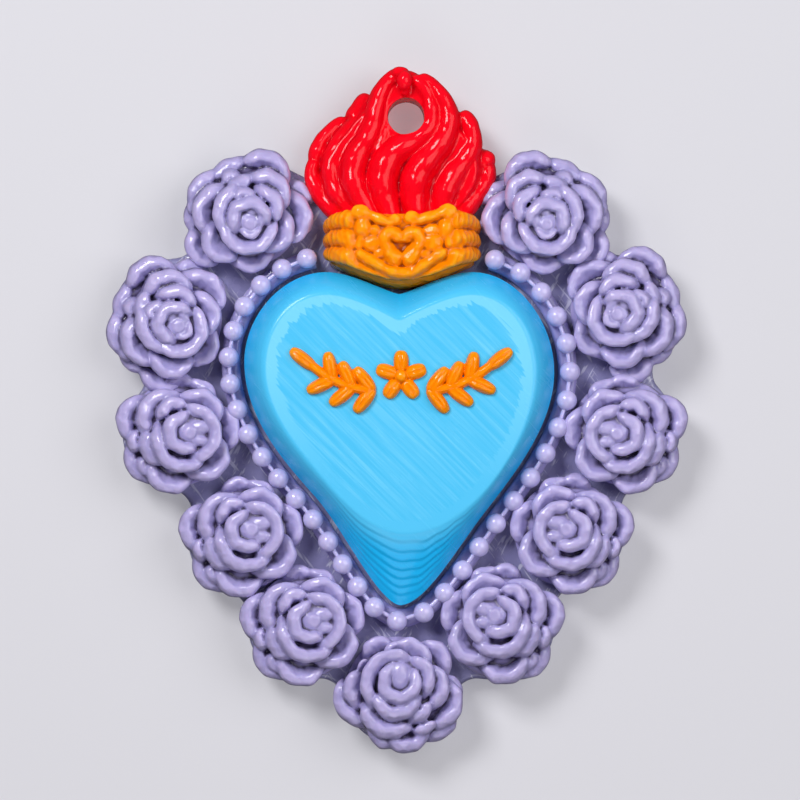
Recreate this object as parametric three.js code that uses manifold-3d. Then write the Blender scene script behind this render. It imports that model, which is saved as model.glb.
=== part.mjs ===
// A sacred heart pendant: a blue heart in a beaded collar, a crown band and a flame with the
// hanging hole above it, and a garland of eleven roses on a scalloped backing plate.
// The pieces are drawn lying on their backs, x to the right, y up the pendant and z towards the
// viewer, from the centre of the hanging hole. The outer group then stands the pendant upright.

import * as THREE from 'three';
import { mergeVertices } from 'three/addons/utils/BufferGeometryUtils.js';
import Module from 'manifold-3d';

const wasm = await Module();
wasm.setup();

// Sizes in millimetres

const plateThickness = 2.0;
const plateLobeRadius = 4.6;
const plateWebRadius = 2.0;
const plateCrownLobeRadius = 4.7;
const plateCrownLobeDrop = 10.3;
const plateCrownWebRadius = 12;

const heartAxisX = -0.55;
const heartDrop = 12.7;
const heartHalfWidth = 12.6;
const heartHeight = 27.1;
const heartWall = 2.6;
const heartCrown = 2.4;
const heartShoulderPower = 1.7;

const seamGap = 0.4;
const fitGap = 0.3;

const collarWidth = 1.55;
const collarHeight = 1.3;
const collarShoulder = 0.5;

const beadRadius = 0.8;
const beadFootRadius = 0.45;
const beadOut = 1.3;
const beadsRight = 16;
const beadsLeft = 17;
const beadCrownGap = 0.2;

const roseRadius = 5.1;
const roseHeight = 4.8;
const roseLean = 0.9;
const roseOut = 6.7;
const petalThickness = 0.95;

const crownX = -0.33;
const crownHalfWidth = 6.5;
const crownTopDrop = 7.7;
const crownSideHeight = 3.9;
const crownPoint = 1.7;
const crownDepth = 4.4;
const crownEndDepth = 1.5;
const crownFieldShare = 0.6;
const crownRidgeRise = 0.5;
const crownSkirt = 0.9;
const crownStroke = 0.95;
const crownStrokeRise = 0.5;
const crownDotRadius = 0.6;
const crownTopBow = 0.35;
const crownLipDrop = 0.25;

const emblemHalfWidth = 1.45;
const emblemHeight = 2.7;
const emblemStroke = 0.75;
const emblemRise = 0.6;
const emblemDrop = 2.2;

const flameThickness = 6.0;
const flameWebThickness = 3.0;
const holeRadius = 1.5;
const tenonWidth = 7.0;
const tenonDepth = 3.0;
const tenonThickness = 1.8;

const ornamentX = -0.4;
const ornamentDrop = 21.2;
const sprigLength = 5.2;
const sprigRise = 2.2;
const sprigStart = 2.3;
const stemWidth = 0.8;
const leafLength = 2.5;
const leafWidth = 1.15;
const leafPairs = 3;
const ornamentRise = 0.65;
const blossomRadius = 1.25;
const blossomPetals = 5;
const blossomPetalLength = 1.7;
const blossomPetalWidth = 1.25;
const blossomEyeRadius = 0.6;

// Shares and steps that shape the pieces

const heartSteps = 7;
const guideSteps = 40;
const shoulderShares = [0, 0.08, 0.22, 0.42, 0.68, 1];
const offsetKeep = 0.98;
const plateArcStep = 0.5;
const webLeast = 0.6;
const strandDroop = 0.12;
const strandBelly = 0.7;
const strandFade = 0.45;
const strandRound = 0.8;
const strandTip = [{ t: 0.95, share: 0.85 }, { t: 1, share: 0.4 }];
const domeShoulder = { out: 0.88, up: 0.6 };
const domeTop = 0.4;
const ridgeCount = 3;
const crownStations = [-1, -0.94, -0.84, -0.72, -0.6, -0.3, 0, 0.3, 0.6, 0.72, 0.84, 0.94, 1];
const emblemSteps = 7;
const collarRounding = [[0, 1], [0.3, 0.3], [1, 0]];
const boreSides = 24;
const beadSides = 8;
const leafSides = 7;
const leafOpening = 0.9;
const leafSetback = 0.42;
const endLeafAt = 0.92;
const stemShare = 0.8;

// How far cutting blocks reach past everything that they cut
const beyond = 30;

// Planes that the pieces share

const plateTop = plateThickness;
const collarTop = plateTop + collarHeight;
const heartTop = plateTop + heartWall + heartCrown;
const crownFront = plateTop + crownDepth;
const crownTopY = -crownTopDrop;

// Outlines as cubic curves: two handles and an end for each, in shares of the half width across
// and of the height down from the lobes

const heartCleft = [0, -0.0665];
const heartRight = [
  [[0.11, -0.055], [0.31, 0], [0.47, 0]],
  [[0.75, 0], [1, -0.144], [1, -0.3]],
  [[1, -0.465], [0.717, -0.62], [0.536, -0.73]],
  [[0.35, -0.845], [0.16, -1], [0, -1]],
];
const heartLeft = [
  [[0.11, -0.055], [0.31, 0], [0.47, 0]],
  [[0.75, 0], [1, -0.13], [1, -0.27]],
  [[1, -0.44], [0.73, -0.577], [0.53, -0.68]],
  [[0.341, -0.786], [0.15, -0.98], [0, -1]],
];

// The flat field on top of the heart has the same number of curves, so that the rounded shoulder
// can be lofted from one outline to the other; its foot is a broad arc well above the tip

const fieldCleft = [0, -0.15];
const fieldRight = [
  [[0.07, -0.132], [0.31, -0.07], [0.47, -0.07]],
  [[0.68, -0.07], [0.857, -0.17], [0.857, -0.306]],
  [[0.857, -0.424], [0.746, -0.535], [0.58, -0.635]],
  [[0.42, -0.73], [0.222, -0.78], [0.03, -0.78]],
];
const fieldLeft = [
  [[0.07, -0.132], [0.31, -0.07], [0.47, -0.07]],
  [[0.68, -0.07], [0.857, -0.16], [0.857, -0.29]],
  [[0.857, -0.406], [0.68, -0.51], [0.476, -0.62]],
  [[0.333, -0.7], [0.16, -0.78], [-0.03, -0.78]],
];

// The petals of a rose, ring by ring from the skirt to the bud: how many, where the first one
// starts in degrees, and how far out and how high its lips are, as shares of the rose's size

const petalRings = [
  { petals: 5, start: 18, reach: 1.0, lip: 0.36 },
  { petals: 5, start: 60, reach: 0.84, lip: 0.6 },
  { petals: 4, start: 25, reach: 0.62, lip: 0.82 },
  { petals: 3, start: -50, reach: 0.4, lip: 0.96 },
];
const petalOverlap = 0.13;
const petalDip = 0.16;
const creaseDepth = 1.15;
const budRadius = 0.5;
const roseFootShare = 0.86;
const roseStations = 20;
const petalFlare = 0.5;
const petalCurl = 0.55;
const lipUndercut = 0.5;
const lipTop = 0.45;
const creaseIn = 1.1;
const budHeight = 0.9;
const budTip = { out: 0.4, height: 0.96 };

// Where the roses sit: share of the garland's length from the point under the tip, up the right
// side, or up the left side when it is negative; how far outside the garland line; and the way
// each rose is turned in degrees. The roses on the right mirror those on the left.

const rosePlaces = [
  { along: 0.392, out: -0.2, turn: 12 },
  { along: 0.307, out: 0, turn: -65 },
  { along: 0.226, out: -0.05, turn: -8 },
  { along: 0.15, out: -0.1, turn: 0 },
  { along: 0.073, out: -0.15, turn: 0 },
  { along: -0.007, out: 0.45, turn: 115 },
  { along: -0.084, out: 0.15, turn: 0 },
  { along: -0.153, out: 0.1, turn: 0 },
  { along: -0.235, out: -0.05, turn: -8 },
  { along: -0.315, out: 0.2, turn: -65 },
  { along: -0.402, out: 0.1, turn: 12 },
];

// The tongues of the flame: points of the middle line from the root to the tip, from the hole's
// centre line across and up from the crown's top edge, then the width at the root, belly and tip,
// and the height of the crest as a share of the flame's thickness

const flameTongues = [
  { path: [[-5.1, 0], [-6.9, 1.3], [-7.6, 2.9], [-7.4, 4.3], [-6.6, 5.5]],
    width: [1.1, 1.5, 1.0], crest: 0.72 },
  { path: [[-6.6, 3.1], [-6.75, 5.1], [-5.8, 6.8], [-4.3, 8.0]],
    width: [0.9, 1.3, 0.9], crest: 0.66 },
  { path: [[-4.3, 0], [-5.8, 1.8], [-6.1, 3.6], [-5.5, 5.5], [-4.3, 7.1], [-3.5, 8.4]],
    width: [1.3, 1.5, 1.0], crest: 0.82 },
  { path: [[-3.1, -0.1], [-4.3, 1.8], [-4.5, 3.5], [-3.7, 5.2], [-3.0, 6.8],
    [-2.5, 8.6], [-1.6, 10.3], [0, 11.5]],
    width: [1.6, 2.0, 1.5], crest: 0.9 },
  { path: [[-2.6, 0], [-2.95, 2.3], [-2.6, 4.2], [-2.0, 5.8], [-2.05, 7.8], [-1.5, 9.4], [-0.4, 10.3]],
    width: [1.3, 1.5, 1.1], crest: 0.84 },
  { path: [[-1.1, -0.2], [-2.0, 1.7], [-1.8, 3.3], [-0.7, 4.8], [0.8, 5.5],
    [1.95, 6.7], [2.15, 8.2], [1.6, 9.6], [0.3, 10.6]],
    width: [2.2, 2.6, 1.2], crest: 1.0 },
  { path: [[1.0, -0.2], [0.4, 1.7], [0.9, 3.4], [2.1, 5.0], [3.1, 6.6], [3.25, 8.2], [2.3, 10.2], [-0.4, 11.3]],
    width: [2.2, 2.6, 1.5], crest: 1.0 },
  { path: [[2.9, 0], [2.9, 1.9], [4.0, 3.5], [5.1, 5.0], [5.4, 6.5], [4.6, 7.8]],
    width: [2.0, 2.2, 1.2], crest: 0.9 },
  { path: [[4.3, 0], [5.3, 1.5], [6.2, 2.8], [6.5, 4.1], [6.2, 5.0]],
    width: [1.6, 1.8, 1.0], crest: 0.74 },
];
const flameDrops = [
  { at: [-0.35, 10.65], halfLength: 1.15, halfWidth: 0.65, crest: 0.96 },
  { at: [-3.1, 9.1], halfLength: 1.0, halfWidth: 0.7, crest: 0.68 },
];
const flameWeb = [
  [-4.6, 0], [-6.6, 2.1], [-6.7, 4.5], [-5, 7], [-2.9, 9.3], [-1, 10.8],
  [1, 10.8], [3, 9.2], [4.9, 6.7], [6, 4.1], [5.4, 1.7], [4, 0],
];

// Strokes and dots on one half of the crown's field, mirrored on the other: shares of the half
// width across, of the side height down, and of the point's depth down

const crownTopStroke = [[0.6, 0.1, 0], [0.16, 0.18, 0]];
const crownLowStroke = [[0.65, 0.94, 0], [0.25, 0.94, 0.75], [-0.015, 0.94, 1]];
const crownDots = [[0.47, 0.4, 0], [0.39, 0.72, 0]];

// The small heart's curve in shares of its half width and height: two handles and the lower end

const emblemCurve = [[0.5, 0.42], [1.9, 0.1], [0, -0.78]];
const emblemSection = [[1, 0], [0.7, 0.8], [0, 1], [-0.7, 0.8], [-1, 0]];

const lavender = new THREE.MeshStandardMaterial({ color: 0xa79bd0, roughness: 0.28, metalness: 0 });
const deepLavender = new THREE.MeshStandardMaterial({ color: 0x6d6796, roughness: 0.35, metalness: 0 });
const heartBlue = new THREE.MeshStandardMaterial({ color: 0x22b4ee, roughness: 0.25, metalness: 0 });
const amber = new THREE.MeshStandardMaterial({ color: 0xff9200, roughness: 0.22, metalness: 0 });
const flameRed = new THREE.MeshStandardMaterial({ color: 0xf0061c, roughness: 0.18, metalness: 0 });

// Turns a closed geometry into a solid that can be cut and joined
function toSolid(geometry) {
  const bare = geometry.clone();
  bare.deleteAttribute('normal');
  bare.deleteAttribute('uv');
  const merged = mergeVertices(bare, 1e-5);
  const vertProperties = new Float32Array(merged.attributes.position.array);
  const triVerts = new Uint32Array(merged.index.array);
  return new wasm.Manifold(new wasm.Mesh({ numProp: 3, vertProperties, triVerts }));
}

// Turns a solid back into a geometry
function toGeometry(solid) {
  const mesh = solid.getMesh();
  const geometry = new THREE.BufferGeometry();
  geometry.setAttribute('position', new THREE.BufferAttribute(new Float32Array(mesh.vertProperties), 3));
  geometry.setIndex(new THREE.BufferAttribute(new Uint32Array(mesh.triVerts), 1));
  geometry.computeVertexNormals();
  return geometry;
}

// Joins a list of geometries into one solid
function join(geometries) {
  return geometries.map(toSolid).reduce((whole, piece) => whole.add(piece));
}

// A closed skin over rings of points, all with the same count, with flat caps at both ends. The
// rings run anticlockwise when seen from the end that they rise to.
function loft(rings) {
  const count = rings[0].length;
  const position = rings.flat().flatMap((p) => [p.x, p.y, p.z]);
  const index = [];
  for (let r = 0; r + 1 < rings.length; r++) {
    for (let i = 0; i < count; i++) {
      const a = r * count + i;
      const b = r * count + ((i + 1) % count);
      index.push(a, b, b + count, a, b + count, a + count);
    }
  }
  const last = (rings.length - 1) * count;
  for (const [a, b, c] of capTriangles(rings[0])) {
    index.push(a, c, b);
  }
  for (const [a, b, c] of capTriangles(rings[rings.length - 1])) {
    index.push(last + a, last + b, last + c);
  }
  const geometry = new THREE.BufferGeometry();
  geometry.setAttribute('position', new THREE.Float32BufferAttribute(position, 3));
  geometry.setIndex(index);
  return geometry;
}

// Triangles over one flat ring, turned the same way as the ring
function capTriangles(ring) {
  const normal = new THREE.Vector3();
  ring.forEach((p, i) => normal.add(new THREE.Vector3().crossVectors(p, ring[(i + 1) % ring.length])));
  normal.normalize();
  const across = new THREE.Vector3().subVectors(ring[1], ring[0]).normalize();
  const up = new THREE.Vector3().crossVectors(normal, across);
  const flat = ring.map((p) => new THREE.Vector2(p.dot(across), p.dot(up)));
  return THREE.ShapeUtils.triangulateShape(flat, []);
}

// A closed ring with its points at one height
function atHeight(loop, z) {
  return loop.map((p) => new THREE.Vector3(p.x, p.y, z));
}

// A straight-sided slab between two heights
function slab(loop, low, high) {
  return loft([atHeight(loop, low), atHeight(loop, high)]);
}

// A box between two corners
function block(x0, x1, y0, y1, z0, z1) {
  const box = new THREE.BoxGeometry(x1 - x0, y1 - y0, z1 - z0);
  return box.translate((x0 + x1) / 2, (y0 + y1) / 2, (z0 + z1) / 2);
}

// The points of a heart-shaped loop, anticlockwise from the cleft: down the left side to the tip
// and up the right side
function heartLoop(cleft, left, right, steps) {
  const place = (p, side) => new THREE.Vector2(
    heartAxisX + side * p[0] * heartHalfWidth,
    p[1] * heartHeight - heartDrop,
  );
  const side = (curves, sign) => {
    let start = place(cleft, sign);
    return curves.flatMap(([one, two, end]) => {
      const stop = place(end, sign);
      const curve = new THREE.CubicBezierCurve(start, place(one, sign), place(two, sign), stop);
      start = stop;
      return curve.getPoints(steps).slice(0, -1);
    });
  };
  const down = side(left, -1);
  const up = side(right, 1);
  const tip = place(right[right.length - 1][2], 1);
  return [...down, tip, ...up.slice(1).reverse()];
}

// A loop with every point moved outwards, or inwards by a negative distance
function moved(loop, distance) {
  return loop.map((p, i) => {
    const ahead = loop[(i + 1) % loop.length];
    const behind = loop[(i + loop.length - 1) % loop.length];
    const run = new THREE.Vector2().subVectors(ahead, behind).normalize();
    return new THREE.Vector2(p.x + run.y * distance, p.y - run.x * distance);
  });
}

// A loop offset outwards, without the points that would fall inside the offset
function outset(loop, distance) {
  return moved(loop, distance).filter((q) => loopDistance(loop, q) > distance * offsetKeep);
}

// The least distance from a point to a closed loop
function loopDistance(loop, q) {
  let least = Infinity;
  loop.forEach((p, i) => {
    const edge = new THREE.Vector2().subVectors(loop[(i + 1) % loop.length], p);
    const along = new THREE.Vector2().subVectors(q, p).dot(edge) / edge.lengthSq();
    const share = THREE.MathUtils.clamp(along, 0, 1);
    least = Math.min(least, q.distanceTo(p.clone().addScaledVector(edge, share)));
  });
  return least;
}

// The point at a distance along a closed loop, with the outward direction there
function alongLoop(loop, distance) {
  let left = distance;
  for (let i = 0; ; i = (i + 1) % loop.length) {
    const run = new THREE.Vector2().subVectors(loop[(i + 1) % loop.length], loop[i]);
    if (left <= run.length()) {
      const point = loop[i].clone().addScaledVector(run.normalize(), left);
      return { point, outward: new THREE.Vector2(run.y, -run.x) };
    }
    left -= run.length();
  }
}

function loopLength(loop) {
  return loop.reduce((sum, p, i) => sum + p.distanceTo(loop[(i + 1) % loop.length]), 0);
}

// The distance along a loop of its first point that passes a test
function distanceWhere(loop, test) {
  let sum = 0;
  for (let i = 0; i < loop.length; i++) {
    if (test(loop[i])) {
      return sum;
    }
    sum += loop[i].distanceTo(loop[(i + 1) % loop.length]);
  }
  return sum;
}

// A test for the lowest point of a loop
function isLowest(loop) {
  const lowest = Math.min(...loop.map((p) => p.y));
  return (p) => p.y === lowest;
}

// A rounded strand along a flat curve, from its flat back up to its crest, with a rounded tip
function strand(path, widths, back, crest, steps) {
  const points = path.map(([x, y]) => new THREE.Vector3(x, y, 0));
  const curve = new THREE.CatmullRomCurve3(points, false, 'centripetal');
  const stations = Array.from({ length: steps }, (_, s) => ({ t: s / steps, share: 1 }));
  const rings = [...stations, ...strandTip].map(({ t, share }) => {
    const middle = curve.getPointAt(t);
    const run = curve.getTangentAt(t);
    const half = (strandWidth(widths, t) * share) / 2;
    const top = THREE.MathUtils.lerp(back, crest, 1 - strandDroop * t * (2 - share));
    return strandSection(half, back, top).map(([w, z]) => (
      new THREE.Vector3(middle.x + run.y * w, middle.y - run.x * w, z)
    ));
  });
  return loft(rings);
}

// Width along a strand, swelling from the root to the belly and then narrowing to the tip
function strandWidth([root, belly, tip], t) {
  const swell = Math.sin((Math.PI / 2) * Math.min(1, t / strandBelly));
  const fade = THREE.MathUtils.smoothstep(t, strandFade, 1);
  return THREE.MathUtils.lerp(THREE.MathUtils.lerp(root, belly, swell), tip, fade);
}

// Straight sides, then a shoulder of an even chamfer, then the crest
function strandSection(half, back, crest) {
  const shoulder = crest - Math.min(half, (crest - back) * strandRound);
  const brow = THREE.MathUtils.lerp(shoulder, crest, Math.sin(Math.PI / 3));
  const left = [[-half, back], [-half, shoulder], [-half / 2, brow]];
  return [...left, [half / 2, brow], [half, shoulder], [half, back]];
}

// A low oval dome with a flat foot
function dome(halfLength, halfWidth, rise, sides) {
  const ring = (share, z) => Array.from({ length: sides }, (_, i) => {
    const angle = (i / sides) * 2 * Math.PI;
    return new THREE.Vector3(Math.cos(angle) * halfLength * share, Math.sin(angle) * halfWidth * share, z);
  });
  return loft([ring(1, 0), ring(domeShoulder.out, rise * domeShoulder.up), ring(domeTop, rise)]);
}

// Heart

const heartEdge = heartLoop(heartCleft, heartLeft, heartRight, heartSteps);
const heartField = heartLoop(fieldCleft, fieldLeft, fieldRight, heartSteps);
const heartGuide = heartLoop(heartCleft, heartLeft, heartRight, guideSteps);

function makeHeart() {
  const shoulder = shoulderShares.map((share) => {
    const rise = 1 - (1 - share) ** heartShoulderPower;
    const loop = heartEdge.map((p, i) => p.clone().lerp(heartField[i], share));
    return atHeight(loop, plateTop + heartWall + heartCrown * rise);
  });
  return loft([atHeight(heartEdge, plateTop), ...shoulder]);
}

// Backing plate

// Where the roses sit, worked out from the garland line round the heart, which runs clockwise
const garland = outset(heartGuide, roseOut).reverse();
const garlandTip = distanceWhere(garland, isLowest(garland));
const roseSeats = rosePlaces.map(({ along, out, turn }) => {
  const { point, outward } = alongLoop(garland, garlandTip - along * loopLength(garland));
  return { centre: point.addScaledVector(outward, -out), inward: outward, turn, mirrored: along > 0 };
});

// Points of an arc from one angle to another, at most a step apart
function arcPoints(centre, radius, from, sweep) {
  const count = Math.max(2, Math.ceil(Math.abs(sweep) / plateArcStep));
  return Array.from({ length: count + 1 }, (_, i) => {
    const angle = from + (sweep * i) / count;
    return new THREE.Vector2(centre.x + radius * Math.cos(angle), centre.y + radius * Math.sin(angle));
  });
}

// The circle that touches two lobes from outside, in the hollow between them
function webBetween(one, two, radius) {
  const run = new THREE.Vector2().subVectors(two.centre, one.centre);
  const gap = run.length() - one.radius - two.radius;
  const web = Math.max(radius, gap * webLeast);
  const a = one.radius + web;
  const b = two.radius + web;
  const along = (run.lengthSq() + a * a - b * b) / (2 * run.length());
  const out = Math.sqrt(Math.max(0, a * a - along * along));
  run.normalize();
  const centre = one.centre.clone().addScaledVector(run, along);
  centre.x -= run.y * out;
  centre.y += run.x * out;
  return { centre, radius: web };
}

// Outline of the plate: a lobe under every rose and one behind the crown, joined by webs
function plateLoop() {
  const lobes = roseSeats.map(({ centre }) => ({ centre, radius: plateLobeRadius, web: plateWebRadius }));
  lobes[lobes.length - 1].web = plateCrownWebRadius;
  const crownLobe = new THREE.Vector2(crownX, -plateCrownLobeDrop);
  lobes.push({ centre: crownLobe, radius: plateCrownLobeRadius, web: plateCrownWebRadius });
  const webs = lobes.map((lobe, i) => webBetween(lobe, lobes[(i + 1) % lobes.length], lobe.web));
  const heading = (from, to) => Math.atan2(to.y - from.y, to.x - from.x);
  const turnBetween = (from, to) => THREE.MathUtils.euclideanModulo(to - from, 2 * Math.PI);
  const loop = lobes.flatMap((lobe, i) => {
    const web = webs[i];
    const before = webs[(i + webs.length - 1) % webs.length];
    const next = lobes[(i + 1) % lobes.length];
    const lobeFrom = heading(lobe.centre, before.centre);
    const lobeTurn = turnBetween(heading(lobe.centre, web.centre), lobeFrom);
    const webFrom = heading(web.centre, lobe.centre);
    const webTurn = turnBetween(webFrom, heading(web.centre, next.centre));
    const lobeArc = arcPoints(lobe.centre, lobe.radius, lobeFrom, -lobeTurn);
    const webArc = arcPoints(web.centre, web.radius, webFrom, webTurn);
    return [...lobeArc.slice(0, -1), ...webArc.slice(0, -1)];
  });
  return loop.reverse();
}

const plateEdge = plateLoop();

function makePlate() {
  return slab(plateEdge, 0, plateTop);
}

// Crown band

// Seen from the front the band is level on top and comes to a point below the middle; its front
// is flat in the middle, for the emblem, and falls away to three roped ridges at both ends
function crownSection(u) {
  const end = THREE.MathUtils.clamp((Math.abs(u) - crownFieldShare) / (1 - crownFieldShare), 0, 1);
  const front = plateTop + THREE.MathUtils.lerp(crownEndDepth, crownDepth, Math.sqrt(1 - end * end));
  const point = crownPoint * (1 - THREE.MathUtils.smoothstep(Math.abs(u), 0, 0.75));
  const top = crownTopY - crownTopBow * end * end;
  const bottom = crownTopY - crownSideHeight - point + crownTopBow * end * end;
  const ridge = crownRidgeRise * Math.min(1, end * ridgeCount);
  const x = crownX + u * crownHalfWidth;
  const levels = Array.from({ length: 2 * ridgeCount + 1 }, (_, i) => {
    const groove = i % 2 === 0 ? ridge : 0;
    const outermost = i === 0 || i === 2 * ridgeCount;
    return new THREE.Vector3(
      x - Math.sign(u) * groove * end,
      THREE.MathUtils.lerp(bottom, top, i / (2 * ridgeCount)),
      front - groove - (outermost ? crownLipDrop : 0),
    );
  });
  const above = new THREE.Vector3(x, top, plateTop);
  const below = new THREE.Vector3(x, bottom - crownSkirt, plateTop);
  return [above, ...levels.reverse(), below];
}

function crownStrokes() {
  const back = crownFront - crownStroke;
  const crest = crownFront + crownStrokeRise;
  const width = [crownStroke, crownStroke, crownStroke];
  return [1, -1].flatMap((side) => {
    const place = ([across, down, point]) => [
      crownX + side * across * crownHalfWidth,
      crownTopY - down * crownSideHeight - point * crownPoint,
    ];
    const dots = crownDots.map(place).map(([x, y]) => (
      dome(crownDotRadius, crownDotRadius, crest - back, beadSides).translate(x, y, back)
    ));
    return [
      strand(crownTopStroke.map(place), width, back, crest, 2),
      strand(crownLowStroke.map(place), width, back, crest, 3),
      ...dots,
    ];
  });
}

function makeCrown() {
  const band = join([loft(crownStations.map(crownSection)), ...crownStrokes()]);
  const halfPocket = tenonWidth / 2 + fitGap;
  const pocket = block(crownX - halfPocket, crownX + halfPocket, crownTopY - tenonDepth - fitGap,
    crownTopY + beyond, -beyond, plateTop + tenonThickness + fitGap);
  const heartRoom = slab(outset(heartEdge, seamGap), -beyond, beyond);
  return toGeometry(band.subtract(toSolid(pocket)).subtract(toSolid(heartRoom)));
}

// A small outlined heart, a half-round stroke on a flat back
function makeEmblem() {
  const curve = (side) => {
    const [one, two, end] = emblemCurve.map(([across, up]) => (
      new THREE.Vector3(side * across * emblemHalfWidth, up * emblemHeight, 0)
    ));
    return new THREE.CubicBezierCurve3(new THREE.Vector3(), one, two, end);
  };
  const left = curve(-1).getPoints(emblemSteps);
  const right = curve(1).getPoints(emblemSteps);
  const line = [...left, ...right.slice(1, -1).reverse()];
  const rings = line.map((p, i) => {
    const ahead = line[(i + 1) % line.length];
    const behind = line[(i + line.length - 1) % line.length];
    const run = new THREE.Vector3().subVectors(ahead, behind).normalize().multiplyScalar(emblemStroke / 2);
    return emblemSection.map(([w, z]) => new THREE.Vector3(p.x + run.y * w, p.y - run.x * w, z * emblemRise));
  });
  return closedSweep(rings);
}

// A skin over rings that close on themselves, without caps
function closedSweep(rings) {
  const count = rings[0].length;
  const index = [];
  rings.forEach((_, r) => {
    const next = (r + 1) % rings.length;
    for (let i = 0; i < count; i++) {
      const j = (i + 1) % count;
      index.push(r * count + i, next * count + j, r * count + j);
      index.push(r * count + i, next * count + i, next * count + j);
    }
  });
  const geometry = new THREE.BufferGeometry();
  const position = rings.flat().flatMap((p) => [p.x, p.y, p.z]);
  geometry.setAttribute('position', new THREE.Float32BufferAttribute(position, 3));
  geometry.setIndex(index);
  return geometry;
}

// Flame

// The web and the tongues, joined, less the hole, the room for the crown and a half lap over the
// plate, with a tenon that goes down behind the crown
function makeFlame() {
  const place = ([x, y]) => [x, crownTopY + y];
  const tongues = flameTongues.map(({ path, width, crest }) => (
    strand(path.map(place), width, 0, flameThickness * crest, path.length)
  ));
  const drops = flameDrops.map(({ at, halfLength, halfWidth, crest }) => {
    const [x, y] = place(at);
    return dome(halfWidth, halfLength, flameThickness * crest, beadSides).translate(x, y, 0);
  });
  const webLoop = flameWeb.map(place).map(([x, y]) => new THREE.Vector2(x, y)).reverse();
  const whole = join([slab(webLoop, 0, flameWebThickness), ...tongues, ...drops]);
  const bore = new THREE.CylinderGeometry(holeRadius, holeRadius, beyond, boreSides).rotateX(Math.PI / 2);
  const belowCrown = block(-beyond, beyond, crownTopY - beyond, crownTopY + fitGap, -beyond, beyond);
  const lap = slab(outset(plateEdge, fitGap), -beyond, plateTop);
  const tenon = block(crownX - tenonWidth / 2, crownX + tenonWidth / 2, crownTopY - tenonDepth,
    crownTopY + tenonThickness, plateTop, plateTop + tenonThickness);
  const body = whole.subtract(toSolid(bore)).subtract(toSolid(belowCrown)).subtract(toSolid(lap));
  return toGeometry(body.add(toSolid(tenon)));
}

// Collar and beads

function makeCollar() {
  const outer = outset(heartEdge, seamGap + collarWidth);
  const shoulder = collarRounding.map(([inwards, down]) => (
    atHeight(moved(outer, -inwards * collarShoulder), collarTop - down * collarShoulder)
  ));
  const ring = toSolid(loft([atHeight(outer, plateTop), ...shoulder]));
  const heartRoom = slab(outset(heartEdge, seamGap), -beyond, beyond);
  const halfCrown = crownHalfWidth + fitGap;
  const middleY = -heartDrop - heartHeight / 2;
  const crownRoom = block(crownX - halfCrown, crownX + halfCrown, middleY, beyond, -beyond, beyond);
  return toGeometry(ring.subtract(toSolid(heartRoom)).subtract(toSolid(crownRoom)));
}

// From the foot, round the ball to its top
function beadProfile() {
  const centreHeight = Math.sqrt(beadRadius ** 2 - beadFootRadius ** 2);
  const slant = beadRadius * Math.SQRT1_2;
  const foot = [[0, 0], [beadFootRadius, 0]];
  const ball = [[beadRadius, centreHeight], [slant, centreHeight + slant], [0, centreHeight + beadRadius]];
  return [...foot, ...ball].map(([r, z]) => new THREE.Vector2(r, z));
}

// Bead places: one under the tip, then evenly up both sides to the ends of the crown
function beadPlaces() {
  const line = outset(heartGuide, beadOut);
  const clearOfCrown = crownHalfWidth + beadRadius + beadCrownGap;
  const first = distanceWhere(line, (p) => p.x < crownX - clearOfCrown);
  const tip = distanceWhere(line, isLowest(line));
  const back = line.slice().reverse();
  const last = loopLength(line) - distanceWhere(back, (p) => p.x > crownX + clearOfCrown);
  const spread = (from, to, count) => (
    Array.from({ length: count }, (_, i) => from + ((to - from) * i) / count)
  );
  const leftRun = spread(first, tip, beadsLeft);
  const rightRun = spread(last, tip, beadsRight).reverse();
  return [...leftRun, tip, ...rightRun].map((distance) => alongLoop(line, distance).point);
}

// Roses

// How far out and how high the lip of a ring is at an angle. Every petal starts behind the one
// before it and ends in front of the next, and is lower at both ends.
function lipAt({ petals, start, reach, lip }, angle) {
  const share = THREE.MathUtils.euclideanModulo(((angle - start) / 360) * petals, 1);
  const side = 2 * share - 1;
  return {
    out: reach * roseRadius * (1 + petalOverlap * (petalFlare * side - petalCurl * side * side)),
    height: roseHeight * lip * (1 - petalDip * side * side),
  };
}

// A rose as one skin from its foot over every lip and down into every crease to the bud
function makeRoseTemplate() {
  const angles = Array.from({ length: roseStations }, (_, i) => (i * 360) / roseStations);
  const line = (place) => angles.map((angle) => {
    const { out, height } = place(angle);
    const turn = THREE.MathUtils.degToRad(angle);
    return new THREE.Vector3(out * Math.cos(turn), out * Math.sin(turn), height);
  });
  const fromLip = (ring, inwards, down) => line((angle) => {
    const { out, height } = lipAt(ring, angle);
    return { out: out - inwards, height: height - down };
  });
  const rings = petalRings.flatMap((ring) => [
    fromLip(ring, 0, petalThickness * lipUndercut),
    fromLip(ring, petalThickness * lipTop, 0),
    fromLip(ring, petalThickness * creaseIn, creaseDepth),
  ]);
  const foot = line(() => ({ out: roseRadius * roseFootShare, height: 0 }));
  const bud = line(() => ({ out: budRadius, height: roseHeight * budHeight }));
  const budTop = line(() => ({ out: budRadius * budTip.out, height: roseHeight * budTip.height }));
  return toSolid(loft([foot, ...rings, bud, budTop]));
}

const roseTemplate = makeRoseTemplate();

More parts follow.
